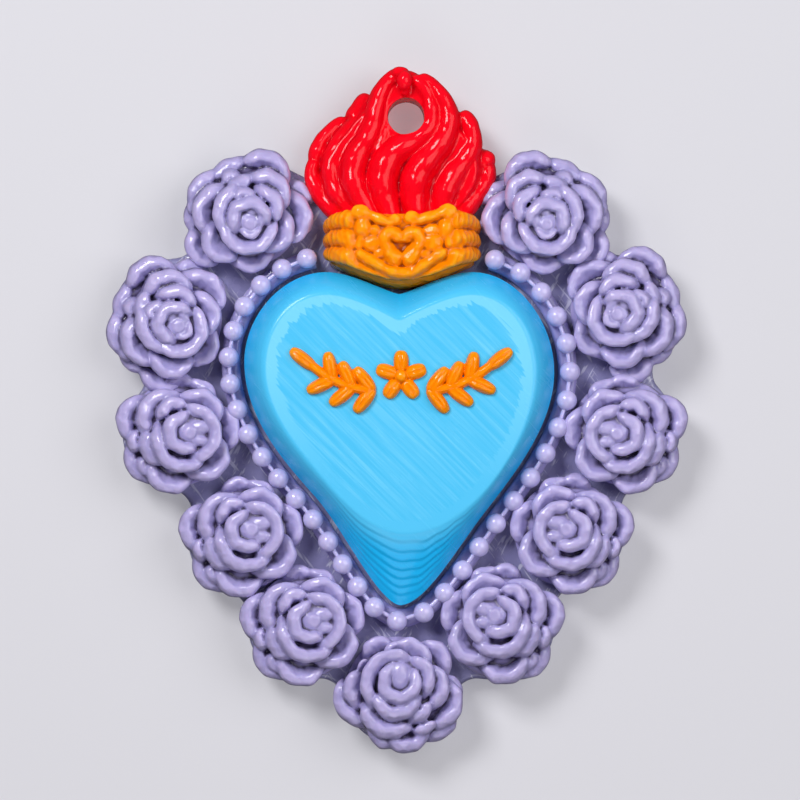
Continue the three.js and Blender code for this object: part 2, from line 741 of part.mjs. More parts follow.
// A rose turned to its place, leaning towards the heart, with its foot on the plate, and trimmed
// clear of its neighbours, the beads, the crown and the flame
function makeRose(index) {
  const { centre, inward, turn, mirrored } = roseSeats[index];
  const stand = new THREE.Matrix4().makeRotationZ(THREE.MathUtils.degToRad(turn));
  if (mirrored) {
    stand.premultiply(new THREE.Matrix4().makeScale(-1, 1, 1));
  }
  const lean = new THREE.Matrix4().set(
    1, 0, (roseLean / roseHeight) * inward.x, 0,
    0, 1, (roseLean / roseHeight) * inward.y, 0,
    0, 0, 1, 0,
    0, 0, 0, 1,
  );
  const place = new THREE.Matrix4().makeTranslation(centre.x, centre.y, plateTop);
  const placed = roseTemplate.transform(place.multiply(lean).multiply(stand).elements);
  const beadRoom = slab(outset(heartEdge, beadOut + beadRadius + fitGap), -beyond, beyond);
  let rose = placed.subtract(toSolid(beadRoom));
  for (const step of [-1, 1]) {
    const neighbour = roseSeats[index + step];
    if (neighbour) {
      rose = rose.subtract(toSolid(beyondMiddle(centre, neighbour.centre)));
    }
  }
  const geometry = toGeometry(rose);
  return geometry.translate(-centre.x, -centre.y, -plateTop);
}

// Everything past the middle line between two roses, less half of the gap kept between them
function beyondMiddle(own, other) {
  const run = new THREE.Vector2().subVectors(other, own);
  const box = block((run.length() - fitGap) / 2, beyond, -beyond, beyond, -beyond, beyond);
  return box.rotateZ(Math.atan2(run.y, run.x)).translate(own.x, own.y, 0);
}

// Ornament on the heart

// One leafy sprig: a bowed stem with pairs of leaves and a leaf at its end
function makeSprig(side) {
  const bow = (t) => [side * (sprigStart + sprigLength * t), sprigRise * (t * t - 0.5)];
  const stemPath = [0, 1, 2, 3].map((i) => bow(i / 3));
  const stem = strand(stemPath, [stemWidth, stemWidth, stemWidth], 0, ornamentRise * stemShare, stemPath.length);
  const leaf = (t, opening) => {
    const [x, y] = bow(t);
    const angle = Math.atan2(2 * sprigRise * t, side * sprigLength) + side * opening;
    const away = leafLength * leafSetback;
    const shape = dome(leafLength / 2, leafWidth / 2, ornamentRise, leafSides);
    return shape.rotateZ(angle).translate(x + away * Math.cos(angle), y + away * Math.sin(angle), 0);
  };
  const pairs = Array.from({ length: leafPairs }, (_, i) => (endLeafAt * i) / leafPairs);
  const leaves = pairs.flatMap((t) => [leaf(t, leafOpening), leaf(t, -leafOpening)]);
  return toGeometry(join([stem, ...leaves, leaf(endLeafAt, 0)]));
}

function makeBlossom() {
  const petals = Array.from({ length: blossomPetals }, (_, i) => (
    dome(blossomPetalLength / 2, blossomPetalWidth / 2, ornamentRise * stemShare, leafSides)
      .translate(blossomRadius, 0, 0)
      .rotateZ(Math.PI / 2 + (i / blossomPetals) * 2 * Math.PI)
  ));
  const eye = dome(blossomEyeRadius, blossomEyeRadius, ornamentRise, beadSides);
  return toGeometry(join([eye, ...petals]));
}

// Assembly

const pendant = new THREE.Group();
const lying = new THREE.Group();
pendant.add(lying);
lying.rotation.x = Math.PI / 2;
lying.position.y = flameThickness / 2;

function addPiece(name, geometry, material, x = 0, y = 0, z = 0) {
  const mesh = new THREE.Mesh(geometry, material);
  mesh.name = name;
  mesh.position.set(x, y, z);
  lying.add(mesh);
}

addPiece('backing_plate', makePlate(), deepLavender);
addPiece('heart_collar', makeCollar(), lavender);
addPiece('heart', makeHeart(), heartBlue);
addPiece('ornament_sprig_left', makeSprig(-1), amber, ornamentX, -ornamentDrop, heartTop);
addPiece('ornament_sprig_right', makeSprig(1), amber, ornamentX, -ornamentDrop, heartTop);
addPiece('ornament_blossom', makeBlossom(), amber, ornamentX, -ornamentDrop, heartTop);
addPiece('crown_band', makeCrown(), amber);
addPiece('crown_heart', makeEmblem(), amber, crownX, crownTopY - emblemDrop, crownFront);
addPiece('flame', makeFlame(), flameRed);

const twoDigits = (number) => String(number).padStart(2, '0');

roseSeats.forEach(({ centre }, i) => {
  addPiece(`rose_${twoDigits(i + 1)}`, makeRose(i), lavender, centre.x, centre.y, plateTop);
});

beadPlaces().forEach((place, i) => {
  const bead = new THREE.LatheGeometry(beadProfile(), beadSides).rotateX(Math.PI / 2);
  addPiece(`bead_${twoDigits(i + 1)}`, bead, lavender, place.x, place.y, collarTop);
});

export default pendant;
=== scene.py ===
import bpy
import numpy as np
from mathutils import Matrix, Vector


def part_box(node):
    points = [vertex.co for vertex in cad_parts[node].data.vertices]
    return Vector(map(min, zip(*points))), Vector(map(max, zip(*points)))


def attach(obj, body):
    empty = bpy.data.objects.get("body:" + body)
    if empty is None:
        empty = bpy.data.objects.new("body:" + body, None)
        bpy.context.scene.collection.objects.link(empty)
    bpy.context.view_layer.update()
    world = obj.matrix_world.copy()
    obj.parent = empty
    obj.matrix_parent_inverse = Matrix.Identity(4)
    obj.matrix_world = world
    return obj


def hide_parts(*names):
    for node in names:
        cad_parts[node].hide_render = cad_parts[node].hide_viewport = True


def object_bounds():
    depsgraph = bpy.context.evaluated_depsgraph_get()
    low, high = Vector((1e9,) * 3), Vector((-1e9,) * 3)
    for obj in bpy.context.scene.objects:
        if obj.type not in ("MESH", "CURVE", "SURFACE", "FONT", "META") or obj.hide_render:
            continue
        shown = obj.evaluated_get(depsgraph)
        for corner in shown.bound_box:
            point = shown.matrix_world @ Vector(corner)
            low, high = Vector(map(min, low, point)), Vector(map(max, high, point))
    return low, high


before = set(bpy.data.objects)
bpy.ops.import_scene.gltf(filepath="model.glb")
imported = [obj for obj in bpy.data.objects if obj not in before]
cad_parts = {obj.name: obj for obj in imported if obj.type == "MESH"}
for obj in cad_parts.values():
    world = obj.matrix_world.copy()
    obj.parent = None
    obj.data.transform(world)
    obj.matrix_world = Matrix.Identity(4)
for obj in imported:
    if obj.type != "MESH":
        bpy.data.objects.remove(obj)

# Sacred heart pendant: heart, beaded collar, crown, flame and eleven roses on a scalloped plate.
# Shapes are worked out in millimetres, lying on their backs: x to the right, y up the pendant and
# z from the back plane towards the viewer. toFrame() stands them up in the frame, in metres.

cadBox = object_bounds()
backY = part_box("backing_plate")[1].y * 1000
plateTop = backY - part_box("backing_plate")[0].y * 1000
print("frame loaded, plate top at", round(plateTop, 2), "mm")


def toFrame(points):
    # X = x, Y = back plane less z, Z = y, all divided by 1000
    return np.stack([points[:, 0], backY - points[:, 2], points[:, 1]], axis=1) / 1000


def fromFrame(points):
    # the other way round, from metres to the lying millimetres
    return np.stack([points[:, 0] * 1000, points[:, 2] * 1000, backY - points[:, 1] * 1000], axis=1)


def nodeMiddle(node):
    # middle of a CAD node's box in lying millimetres
    low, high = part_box(node)
    return fromFrame((np.array(low) + np.array(high))[None] / 2)[0]


# camera, light and backdrop

view = {"distance": 240, "aimX": -0.49, "aimY": -23.1, "width": 65.44, "sensor": 36}

studio = {
    "lights": [  # name, side and place in metres, power in watts, shown in reflections or not
        ("keyLight", 0.12, (-0.15, -0.28, 0.15), 1.0, True),
        ("fillLight", 0.26, (0.2, -0.26, 0.05), 0.62, True),
        ("lowLight", 0.2, (-0.02, -0.24, -0.26), 0.18, True),
        ("backLight", 0.2, (0.03, 0.4, 0.02), 1.1, False),
    ],
    "worldColour": "e9e8ec", "worldStrength": 0.12, "worldSeen": 0.92,
    "backdropColour": "cfced4", "backdropRough": 0.9, "backdropGap": 0.0003, "backdropHalf": 1.5,
    "backdropSeen": "e2e1e8", "backdropShine": 0.3,
}


def asSeen(points, height):
    # a place read off the camera's view at plane zero, drawn in towards the middle of the view in
    # step with its height: aim + (point - aim) * (1 - (height - backY) / distance)
    aim = np.array([view["aimX"], view["aimY"]])
    return aim + (np.asarray(points) - aim) * (1 - (height - backY) / view["distance"])


def feed(tree, node, inputs):
    # a socket is linked to the input, anything else becomes the input's value
    for key, value in inputs.items():
        if isinstance(value, bpy.types.NodeSocket):
            tree.links.new(value, node.inputs[key])
        else:
            node.inputs[key].default_value = value


def addNode(tree, kind, inputs=None, **settings):
    # a new node with its settings and inputs
    made = tree.nodes.new("ShaderNode" + kind)
    for key, value in settings.items():
        setattr(made, key, value)
    feed(tree, made, inputs or {})
    return made


def addMath(tree, operation, a, b=0.0):
    # the operation on a and b
    return addNode(tree, "Math", {0: a, 1: b}, operation=operation).outputs[0]


def mapRange(tree, value, low, high, toLow=0.0, toHigh=1.0, kind="LINEAR"):
    # where the value lies between low and high, carried over to toLow and toHigh
    return addNode(tree, "MapRange", {
        "Value": value, "From Min": low, "From Max": high, "To Min": toLow, "To Max": toHigh},
        interpolation_type=kind).outputs[0]


def mixColour(tree, factor, first, second):
    # the first colour at 0, the second at 1
    made = addNode(tree, "Mix", {"Factor": factor, 6: first, 7: second}, data_type="RGBA")
    return made.outputs[2]


def addNoise(tree, place, scale, detail, rough=0.5, distortion=0.0):
    # fractal noise from about 0 to 1 at a place
    return addNode(tree, "TexNoise", {
        "Vector": place, "Scale": scale, "Detail": detail, "Roughness": rough,
        "Distortion": distortion}).outputs[0]


def linear(hexColour):
    # screen colour to linear light: ((c + 0.055) / 1.055) to the power 2.4, or c / 12.92 near black
    c = np.array([int(hexColour[i:i + 2], 16) for i in (0, 2, 4)]) / 255
    return (*np.where(c > 0.04045, ((c + 0.055) / 1.055) ** 2.4, c / 12.92).tolist(), 1.0)


def addCamera():
    # looks along +Y at the middle of the picture; lens = sensor * distance / width of the view
    data = bpy.data.cameras.new("camera")
    data.sensor_width = view["sensor"]
    data.lens = view["sensor"] * view["distance"] / view["width"]
    data.clip_start, data.clip_end = 0.01, 10
    made = bpy.data.objects.new("camera", data)
    made.location = (view["aimX"] / 1000, -view["distance"] / 1000, view["aimY"] / 1000)
    made.rotation_euler = (np.pi / 2, 0, 0)
    bpy.context.collection.objects.link(made)
    bpy.context.scene.camera = made


def addSoftbox(name, size, at, power, glossy):
    # a square area light turned towards the middle of the pendant
    data = bpy.data.lights.new(name, "AREA")
    data.shape, data.size, data.energy = "SQUARE", size, power
    made = bpy.data.objects.new(name, data)
    made.location = at
    middle = (cadBox[0] + cadBox[1]) / 2
    made.rotation_euler = (middle - made.location).to_track_quat("-Z", "Y").to_euler()
    made.visible_glossy = glossy
    bpy.context.collection.objects.link(made)


def addBackdrop():
    # a plain upright sheet that the pendant lies against, a little brighter where the camera sees
    # it and clear from behind
    y, half = backY / 1000 + studio["backdropGap"], studio["backdropHalf"]
    mesh = bpy.data.meshes.new("backdrop")
    mesh.from_pydata([(-half, y, -half), (half, y, -half), (half, y, half), (-half, y, half)],
                     [], [(0, 1, 2, 3)])
    sheet = bpy.data.objects.new("backdrop", mesh)
    bpy.context.collection.objects.link(sheet)
    sheet.visible_diffuse = sheet.visible_shadow = sheet.visible_glossy = False
    material = bpy.data.materials.new("backdropPaper")
    material.use_nodes = True
    tree = material.node_tree
    paper = tree.nodes["Principled BSDF"]
    feed(tree, paper, {"Base Color": linear(studio["backdropColour"]),
                       "Roughness": studio["backdropRough"]})
    pale = addNode(tree, "Emission", {"Color": linear(studio["backdropSeen"])})
    toCamera = addNode(tree, "LightPath").outputs["Is Camera Ray"]
    seen = addMath(tree, "MULTIPLY", toCamera, studio["backdropShine"])
    lit = addNode(tree, "MixShader", {0: seen, 1: paper.outputs[0], 2: pale.outputs[0]})
    clear = addNode(tree, "BsdfTransparent")
    back = addNode(tree, "NewGeometry").outputs["Backfacing"]
    mix = addNode(tree, "MixShader", {0: back, 1: lit.outputs[0], 2: clear.outputs[0]})
    feed(tree, tree.nodes["Material Output"], {"Surface": mix.outputs[0]})
    mesh.materials.append(material)


def addWorld():
    # weak light from all round, and a pale wall where the camera looks past the backdrop
    world = bpy.data.worlds.new("studio")
    bpy.context.scene.world = world
    world.use_nodes = True
    tree = world.node_tree
    toCamera = addNode(tree, "LightPath").outputs["Is Camera Ray"]
    strength = mapRange(tree, toCamera, 0.0, 1.0, studio["worldStrength"], studio["worldSeen"])
    feed(tree, tree.nodes["Background"], {"Color": linear(studio["worldColour"]),
                                          "Strength": strength})


addCamera()
for light in studio["lights"]:
    addSoftbox(*light)
addBackdrop()
addWorld()
bpy.context.scene.view_settings.view_transform = "Standard"
print("camera, lights and backdrop ready")

# surfaces


def signedVolume(points, quads, triangles):
    # sum over the triangles of a . (b x c) / 6; a quad counts as two triangles
    corners = np.concatenate([quads[:, [0, 1, 2]], quads[:, [0, 2, 3]], triangles])
    a, b, c = points[corners[:, 0]], points[corners[:, 1]], points[corners[:, 2]]
    return np.sum(a * np.cross(b, c)) / 6


def closedGrid(rows):
    # rows[r, c] is ring r, point c: the rings close on themselves, and a fan closes each end
    count, around = rows.shape[:2]
    here = np.arange(count * around).reshape(count, around)
    after = np.roll(here, -1, axis=1)
    quads = np.stack([here[:-1], after[:-1], after[1:], here[1:]], axis=-1).reshape(-1, 4)
    tops = np.full((2, around), [[count * around], [count * around + 1]])
    fans = np.concatenate([
        np.stack([after[0], here[0], tops[0]], axis=-1),
        np.stack([here[-1], after[-1], tops[1]], axis=-1)])
    points = np.concatenate([rows.reshape(-1, 3), rows[:1].mean(axis=1), rows[-1:].mean(axis=1)])
    if signedVolume(points, quads, fans) < 0:
        quads, fans = quads[:, ::-1], fans[:, ::-1]
    return points, quads, fans


def together(shapes):
    # several shapes as one list of points and faces
    starts = np.cumsum([0] + [len(shape[0]) for shape in shapes])
    points = np.concatenate([shape[0] for shape in shapes])
    quads = np.concatenate([shape[1] + start for shape, start in zip(shapes, starts)])
    triangles = np.concatenate([shape[2] + start for shape, start in zip(shapes, starts)])
    return points, quads, triangles


def newMesh(name, points, quads, triangles):
    # a smooth shaded mesh from points, and faces as point numbers
    mesh = bpy.data.meshes.new(name)
    corners = np.concatenate([quads.ravel(), triangles.ravel()]).astype(np.int32)
    sizes = np.concatenate([np.full(len(quads), 4), np.full(len(triangles), 3)])
    mesh.vertices.add(len(points))
    mesh.vertices.foreach_set("co", points.astype(np.float32).ravel())
    mesh.loops.add(len(corners))
    mesh.loops.foreach_set("vertex_index", corners)
    mesh.polygons.add(len(sizes))
    mesh.polygons.foreach_set("loop_start", (np.cumsum(sizes) - sizes).astype(np.int32))
    mesh.update(calc_edges=True)
    mesh.shade_smooth()
    return mesh


def evaluated(worker):
    # the object's mesh after its modifiers, as points and faces
    done = bpy.data.meshes.new_from_object(
        worker.evaluated_get(bpy.context.evaluated_depsgraph_get()))
    points = np.empty(len(done.vertices) * 3)
    done.vertices.foreach_get("co", points)
    corners = np.empty(len(done.loops), dtype=np.int32)
    done.loops.foreach_get("vertex_index", corners)
    sizes = np.empty(len(done.polygons), dtype=np.int32)
    done.polygons.foreach_get("loop_total", sizes)
    starts = np.cumsum(sizes) - sizes
    quads = corners[starts[sizes == 4][:, None] + np.arange(4)]
    triangles = corners[starts[sizes == 3][:, None] + np.arange(3)]
    bpy.data.meshes.remove(done)
    return points.reshape(-1, 3), quads, triangles


def fuse(shapes, voxel, rounds, cutter=None):
    # closed shells melted into one skin: cubes of the given size, a cut where there is one, then
    # the given rounds of smoothing; all in millimetres
    worker = bpy.data.objects.new("worker", newMesh("parts", *together(shapes)))
    bpy.context.collection.objects.link(worker)

    def modify(kind, **settings):
        # one more modifier with its settings
        made = worker.modifiers.new(kind, kind)
        for key, value in settings.items():
            setattr(made, key, value)
    modify("REMESH", mode="VOXEL", voxel_size=voxel)
    if cutter is not None:
        modify("BOOLEAN", operation="DIFFERENCE", solver="EXACT", object=cutter)
        modify("REMESH", mode="VOXEL", voxel_size=voxel)
    modify("SMOOTH", factor=0.5, iterations=rounds)
    shape = evaluated(worker)
    bpy.data.objects.remove(worker)
    return shape


def addPiece(name, shape, material, slot, nodes, **attributes):
    # a finished piece from lying millimetres, riding on the one body and standing for its nodes,
    # with one number for each point in each attribute
    points, quads, triangles = shape
    mesh = newMesh(name, toFrame(points), quads, triangles)
    mesh.materials.append(material)
    for key, values in attributes.items():
        layer = mesh.attributes.new(key, "FLOAT", "POINT")
        layer.data.foreach_set("value", values.astype(np.float32))
    made = bpy.data.objects.new(name, mesh)
    bpy.context.collection.objects.link(made)
    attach(made, "root")
    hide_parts(*nodes)


def smoothPath(points, count, closed=False):
    # a curve through the points: cubic between neighbours, with slopes from the points on either
    # side weighted by their spacing, then spaced out evenly
    p = np.array(points, dtype=float)
    if closed:
        p = np.concatenate([p[-2:], p, p[:3]])
    step = np.linalg.norm(np.diff(p, axis=0), axis=1) ** 0.5
    at = np.concatenate([[0], np.cumsum(step)])
    slope = np.diff(p, axis=0) / step[:, None]
    before, after = step[:-1, None], step[1:, None]
    inner = (slope[:-1] * after + slope[1:] * before) / (before + after)
    tangent = np.concatenate([slope[:1], inner, slope[-1:]])
    first, last = (at[2], at[-3]) if closed else (at[0], at[-1])
    t = np.linspace(first, last, count * 8)
    i = np.clip(np.searchsorted(at, t, side="right") - 1, 0, len(step) - 1)
    s, h = ((t - at[i]) / step[i])[:, None], step[i][:, None]
    fine = ((1 + 2 * s) * (1 - s) ** 2 * p[i] + s * (1 - s) ** 2 * h * tangent[i]
            + s * s * (3 - 2 * s) * p[i + 1] + s * s * (s - 1) * h * tangent[i + 1])
    run = np.concatenate([[0], np.cumsum(np.linalg.norm(np.diff(fine, axis=0), axis=1))])
    even = np.linspace(0, run[-1], count, endpoint=not closed)
    return np.stack([np.interp(even, run, fine[:, k]) for k in range(p.shape[1])], axis=1)


def circle(count):
    # unit circle in even steps
    turn = np.linspace(0, 2 * np.pi, count, endpoint=False)
    return np.stack([np.cos(turn), np.sin(turn)], axis=1)


def level(outline, height):
    # a flat outline as a ring at a height
    return np.column_stack([outline, np.full(len(outline), height)])


def sideways(path, closed=False):
    # unit vector to the right of a flat path, so outwards on an anticlockwise loop
    if closed:
        run = np.roll(path, -1, axis=0) - np.roll(path, 1, axis=0)
    else:
        run = np.gradient(path, axis=0)
    run = run / np.linalg.norm(run, axis=1)[:, None]
    return np.stack([run[:, 1], -run[:, 0]], axis=1)


def sweep(path, section):
    # a section carried along a flat path: path point + right-hand vector * across, at height z
    flat = path[:, None, :] + sideways(path)[:, None, :] * section[..., :1]
    return closedGrid(np.concatenate([flat, section[..., 1:]], axis=-1))


def ball(centre, radii, around=16, rows=10, pole=0.12):
    # centre + radii * (sin p cos a, sin p sin a, cos p), with p from pole to pi - pole
    p = np.linspace(pole, np.pi - pole, rows)[:, None]
    a = np.linspace(0, 2 * np.pi, around, endpoint=False)[None]
    unit = np.stack([np.sin(p) * np.cos(a), np.sin(p) * np.sin(a), np.cos(p) + 0 * a], axis=-1)
    return closedGrid(np.array(centre) + unit * np.array(radii))


def smoothStep(x, low, high):
    # 3 t^2 - 2 t^3, where t is the share of the way from low to high
    t = np.clip((x - low) / (high - low), 0, 1)
    return t * t * (3 - 2 * t)


def pointNormals(points, quads):
    # sum of the crossed diagonals of the faces round each point, brought to length one
    a, b, c, d = (points[quads[:, k]] for k in range(4))
    facing = np.cross(c - a, d - b)
    normal = np.stack([np.bincount(quads.ravel(), np.repeat(facing[:, k], 4), len(points))
                       for k in range(3)], axis=1)
    return normal / np.maximum(np.linalg.norm(normal, axis=1), 1e-9)[:, None]


def hollows(shape, rounds):
    # how deep each point lies in a hollow, in mm: the surface eased by its neighbours' mean for
    # the given rounds, less the surface itself, along the normal; negative on a crest
    points, quads, _ = shape
    here, after = quads.ravel(), np.roll(quads, -1, axis=1).ravel()
    count = np.maximum(np.bincount(after, minlength=len(points)), 1)[:, None]
    eased = points
    for _ in range(rounds):
        near = np.stack([np.bincount(after, eased[here, k], len(points)) for k in range(3)], axis=1)
        eased = (eased + near / count) / 2
    return np.sum((eased - points) * pointNormals(points, quads), axis=1)


castWaves = {
    "ways": [(1.0, 0.35, 0.5), (-0.45, 0.95, 0.3), (0.3, -0.5, 1.05)], "beat": 0.73, "shift": 0.6,
}


def uneven(shape, *swells):
    # hand-cast unevenness: for each swell, an amount and a size in mm, each point moves along its
    # normal by the amount times the mean of three waves of that size in crossing directions,
    # sin(phase) * cos(beat * next phase + shift)
    points, quads, triangles = shape
    for amount, size in swells:
        phase = points @ np.array(castWaves["ways"]).T * (2 * np.pi / size)
        crossed = np.roll(phase, 1, axis=1) * castWaves["beat"] + castWaves["shift"]
        swing = (np.sin(phase) * np.cos(crossed)).mean(axis=1)
        points = points + pointNormals(points, quads) * swing[:, None] * amount
    return points, quads, triangles


# materials

skin = {  # scales are per millimetre; each noise is its detail, roughness and distortion
    "Mottle Scale": 0.35, "Dimple Scale": 2.2, "Pit Scale": 0.9, "Lump Scale": 0.8,
    "Facet Scale": 1.3, "pitFrom": 0.05, "pitTo": 0.11, "pitDepth": 0.7, "facetSmooth": 0.2,
    "facetRandom": 0.95, "mottleNoise": (3.0, 0.55), "dimpleNoise": (2.0, 0.5, 0.6),
    "lumpNoise": (0.5, 0.5, 0.3),
}
scratching = {
    "Fine": 2.6, "turns": (0.65, -0.5), "stretches": (0.12, 0.2), "from": 0.6, "to": 0.68,
    "noise": (2.0, 0.6, 0.2),
}
layering = {"Pitch": 0.2, "Waver": 0.15, "waverScale": 0.5}


def newGroup(name, values, outputs):
    # a node group that takes a place and plain numbers, and puts out plain numbers
    tree = bpy.data.node_groups.new(name, "ShaderNodeTree")
    tree.interface.new_socket("Vector", in_out="INPUT", socket_type="NodeSocketVector")
    for label, value in values.items():
        socket = tree.interface.new_socket(label, in_out="INPUT", socket_type="NodeSocketFloat")
        socket.default_value = value
    for label in outputs:
        tree.interface.new_socket(label, in_out="OUTPUT", socket_type="NodeSocketFloat")
    return tree, tree.nodes.new("NodeGroupInput").outputs, tree.nodes.new("NodeGroupOutput")


def named(values, *labels):
    # the part of a dictionary with these names
    return {label: values[label] for label in labels}


def makeCastSkin():
    # uneven gloss of a varnished casting: broad mottling, soft lumps, fine dimples with small
    # pits, and facets that meet in soft edges
    scales = named(skin, "Mottle Scale", "Dimple Scale", "Pit Scale", "Lump Scale", "Facet Scale")
    tree, given, out = newGroup("castSkin", scales, ["Mottle", "Height", "Lumps", "Facets"])
    place = given["Vector"]
    cells = addNode(tree, "TexVoronoi", {"Vector": place, "Scale": given["Pit Scale"]})
    pits = mapRange(tree, cells.outputs["Distance"], skin["pitFrom"], skin["pitTo"], 1.0, 0.0,
                    "SMOOTHSTEP")
    dents = addMath(tree, "MULTIPLY", pits, skin["pitDepth"])
    dimples = addNoise(tree, place, given["Dimple Scale"], *skin["dimpleNoise"])
    facets = addNode(tree, "TexVoronoi", {
        "Vector": place, "Scale": given["Facet Scale"], "Smoothness": skin["facetSmooth"],
        "Randomness": skin["facetRandom"]}, feature="SMOOTH_F1")
    feed(tree, out, {
        "Mottle": addNoise(tree, place, given["Mottle Scale"], *skin["mottleNoise"]),
        "Height": addMath(tree, "SUBTRACT", dimples, dents),
        "Lumps": addNoise(tree, place, given["Lump Scale"], *skin["lumpNoise"]),
        "Facets": facets.outputs["Distance"]})
    return tree


def makeScratches():
    # pale scratches crossing on flat ground: two stretched noises, each cut off near its peaks
    tree, given, out = newGroup("scratches", named(scratching, "Fine"), ["Scratch"])
    masks = []
    for turn, stretch in zip(scratching["turns"], scratching["stretches"]):
        turned = addNode(tree, "Mapping", {"Vector": given["Vector"], "Rotation": (0, turn, 0)})
        drawn = addNode(tree, "Mapping", {"Vector": turned.outputs[0], "Scale": (1, 1, stretch)})
        noise = addNoise(tree, drawn.outputs[0], given["Fine"], *scratching["noise"])
        masks.append(mapRange(tree, noise, scratching["from"], scratching["to"]))
    feed(tree, out, {"Scratch": addMath(tree, "MAXIMUM", *masks)})
    return tree


def makeLayerLines():
    # soft steps of equal height up the piece: a saw of the height above the back plane
    tree, given, out = newGroup("layerLines", named(layering, "Pitch", "Waver"), ["Line"])
    height = addNode(tree, "SeparateXYZ", {0: given["Vector"]}).outputs["Y"]
    waver = addNoise(tree, given["Vector"], layering["waverScale"], 1.0)
    moved = addMath(tree, "ADD", height, addMath(tree, "MULTIPLY", waver, given["Waver"]))
    saw = addMath(tree, "PINGPONG", addMath(tree, "DIVIDE", moved, given["Pitch"]), 0.5)
    feed(tree, out, {"Line": addMath(tree, "MULTIPLY", saw, 2.0)})
    return tree


castSkin = makeCastSkin()
layerLines = makeLayerLines()
scratches = makeScratches()

# after each crevice colour come the depths in mm where its painted shade in a hollow starts and
# where it is darkest; each crest colour is a painted highlight on the crests
finishes = {
    "petalLavender": {
        "colour": "a8a0d2", "deep": "9990c6", "crest": "b9aede", "creviceShade": "392f51",
        "creviceShadeAt": (0.02, 0.19), "rough": 0.23, "roughVary": 0.14, "coat": 0.52,
        "coatRough": 0.05, "specular": 0.42, "bump": 0.12, "lines": 0.05, "lumps": 0.5,
        "facets": 1.2, "glow": 0.03},
    # the beads' lavender is the petals' lavender painted lighter, as painted light
    "litBeadLavender": {
        "colour": "c5bee9", "deep": "b6aede", "crest": "c5bee9", "creviceShade": "54496e",
        "creviceShadeAt": (0.02, 0.26), "rough": 0.22, "roughVary": 0.12, "coat": 0.6, "coatRough": 0.05,
        "specular": 0.5, "bump": 0.1, "lines": 0.03, "lumps": 0.3, "facets": 0.15, "glow": 0.05},
    # the plate's lavender is darker than the petals' as painted shade between the roses; its pale
    # scratches are wear
    "shadedPlateLavender": {
        "colour": "9a97c2", "deep": "7875a4", "crest": "9a97c2", "creviceShade": "54496e",
        "creviceShadeAt": (0.02, 0.26), "rough": 0.2, "roughVary": 0.2, "coat": 0.5, "coatRough": 0.08,
        "specular": 0.5, "bump": 0.2, "lines": 0.06, "lumps": 0.8, "facets": 0.3, "glow": 0.0,
        "scratch": 0.65, "scratchColour": "dcdcec"},
    "crownAmber": {
        "colour": "fe8a00", "deep": "f77c00", "crest": "ffb01c", "creviceShade": "883200",
        "creviceShadeAt": (0.01, 0.13), "rough": 0.05, "roughVary": 0.05, "coat": 0.0, "coatRough": 0.04,
        "specular": 0.21, "bump": 0.2, "lines": 0.04, "lumps": 0.8, "facets": 0.8, "glow": 0.03},
    "flameRed": {
        "colour": "f4041b", "deep": "e60217", "crest": "fb0922", "creviceShade": "980010",
        "creviceShadeAt": (0.04, 0.3), "rough": 0.06, "roughVary": 0.06, "coat": 0.0, "coatRough": 0.06,
        "specular": 0.24, "bump": 0.1, "lines": 0.03, "lumps": 0.5, "facets": 0.3, "glow": 0.03},
}
cast = {
    # first: the hollow depths in mm where the painted highlight on crests starts and where it is
    # full
    "crestHighlightAt": (-0.02, -0.14), "roughAt": (0.3, 0.7), "bumpDepth": 0.0001, "index": 1.45,
    "glowReach": 0.0006,
}


def startMaterial(name):
    # an empty glossy material with coordinates in millimetres
    material = bpy.data.materials.new(name)
    material.use_nodes = True
    tree = material.node_tree
    place = addNode(tree, "TexCoord").outputs["Object"]
    scaled = addNode(tree, "Mapping", {"Vector": place, "Scale": (1000, 1000, 1000)})
    return material, tree, tree.nodes["Principled BSDF"], scaled.outputs[0]


def makeCastMaterial(name):
    # colour and roughness by the mottling, with a painted highlight on crests and painted shade in
    # hollows; bump from dimples, layer lines, lumps and facets; the attribute hollow is a point's
    # depth in mm
    finish = finishes[name]
    material, tree, surface, place = startMaterial(name)
    skinned = addNode(tree, "Group", {"Vector": place}, node_tree=castSkin).outputs
    lines = addNode(tree, "Group", {"Vector": place}, node_tree=layerLines).outputs
    hollow = addNode(tree, "Attribute", attribute_name="hollow").outputs["Fac"]
    colour = mixColour(tree, skinned["Mottle"], linear(finish["colour"]), linear(finish["deep"]))
    # painted highlight: paler on crests, the more the point stands proud
    proud = mapRange(tree, hollow, *cast["crestHighlightAt"])
    colour = mixColour(tree, proud, colour, linear(finish["crest"]))
    # painted shade: darker the deeper the point lies in a hollow
    depth = mapRange(tree, hollow, *finish["creviceShadeAt"], kind="SMOOTHSTEP")
    colour = mixColour(tree, depth, colour, linear(finish["creviceShade"]))
    if "scratch" in finish:
        marks = addNode(tree, "Group", {"Vector": place}, node_tree=scratches).outputs["Scratch"]
        worn = addMath(tree, "MULTIPLY", marks, finish["scratch"])
        colour = mixColour(tree, worn, colour, linear(finish["scratchColour"]))
    height = addMath(tree, "MULTIPLY", skinned["Height"], finish["bump"])
    reliefs = {"lines": lines["Line"], "lumps": skinned["Lumps"], "facets": skinned["Facets"]}
    for share, relief in reliefs.items():
        height = addMath(tree, "ADD", height, addMath(tree, "MULTIPLY", relief, finish[share]))
    bump = addNode(tree, "Bump", {"Height": height, "Strength": 1.0, "Distance": cast["bumpDepth"]})
    feed(tree, surface, {
        "Base Color": colour, "Normal": bump.outputs[0],
        "Roughness": mapRange(tree, skinned["Mottle"], *cast["roughAt"], finish["rough"],
                              finish["rough"] + finish["roughVary"]),
        "Coat Weight": finish["coat"], "Coat Roughness": finish["coatRough"], "IOR": cast["index"],
        "Specular IOR Level": finish["specular"], "Subsurface Weight": finish["glow"],
        "Subsurface Scale": cast["glowReach"]})
    return material


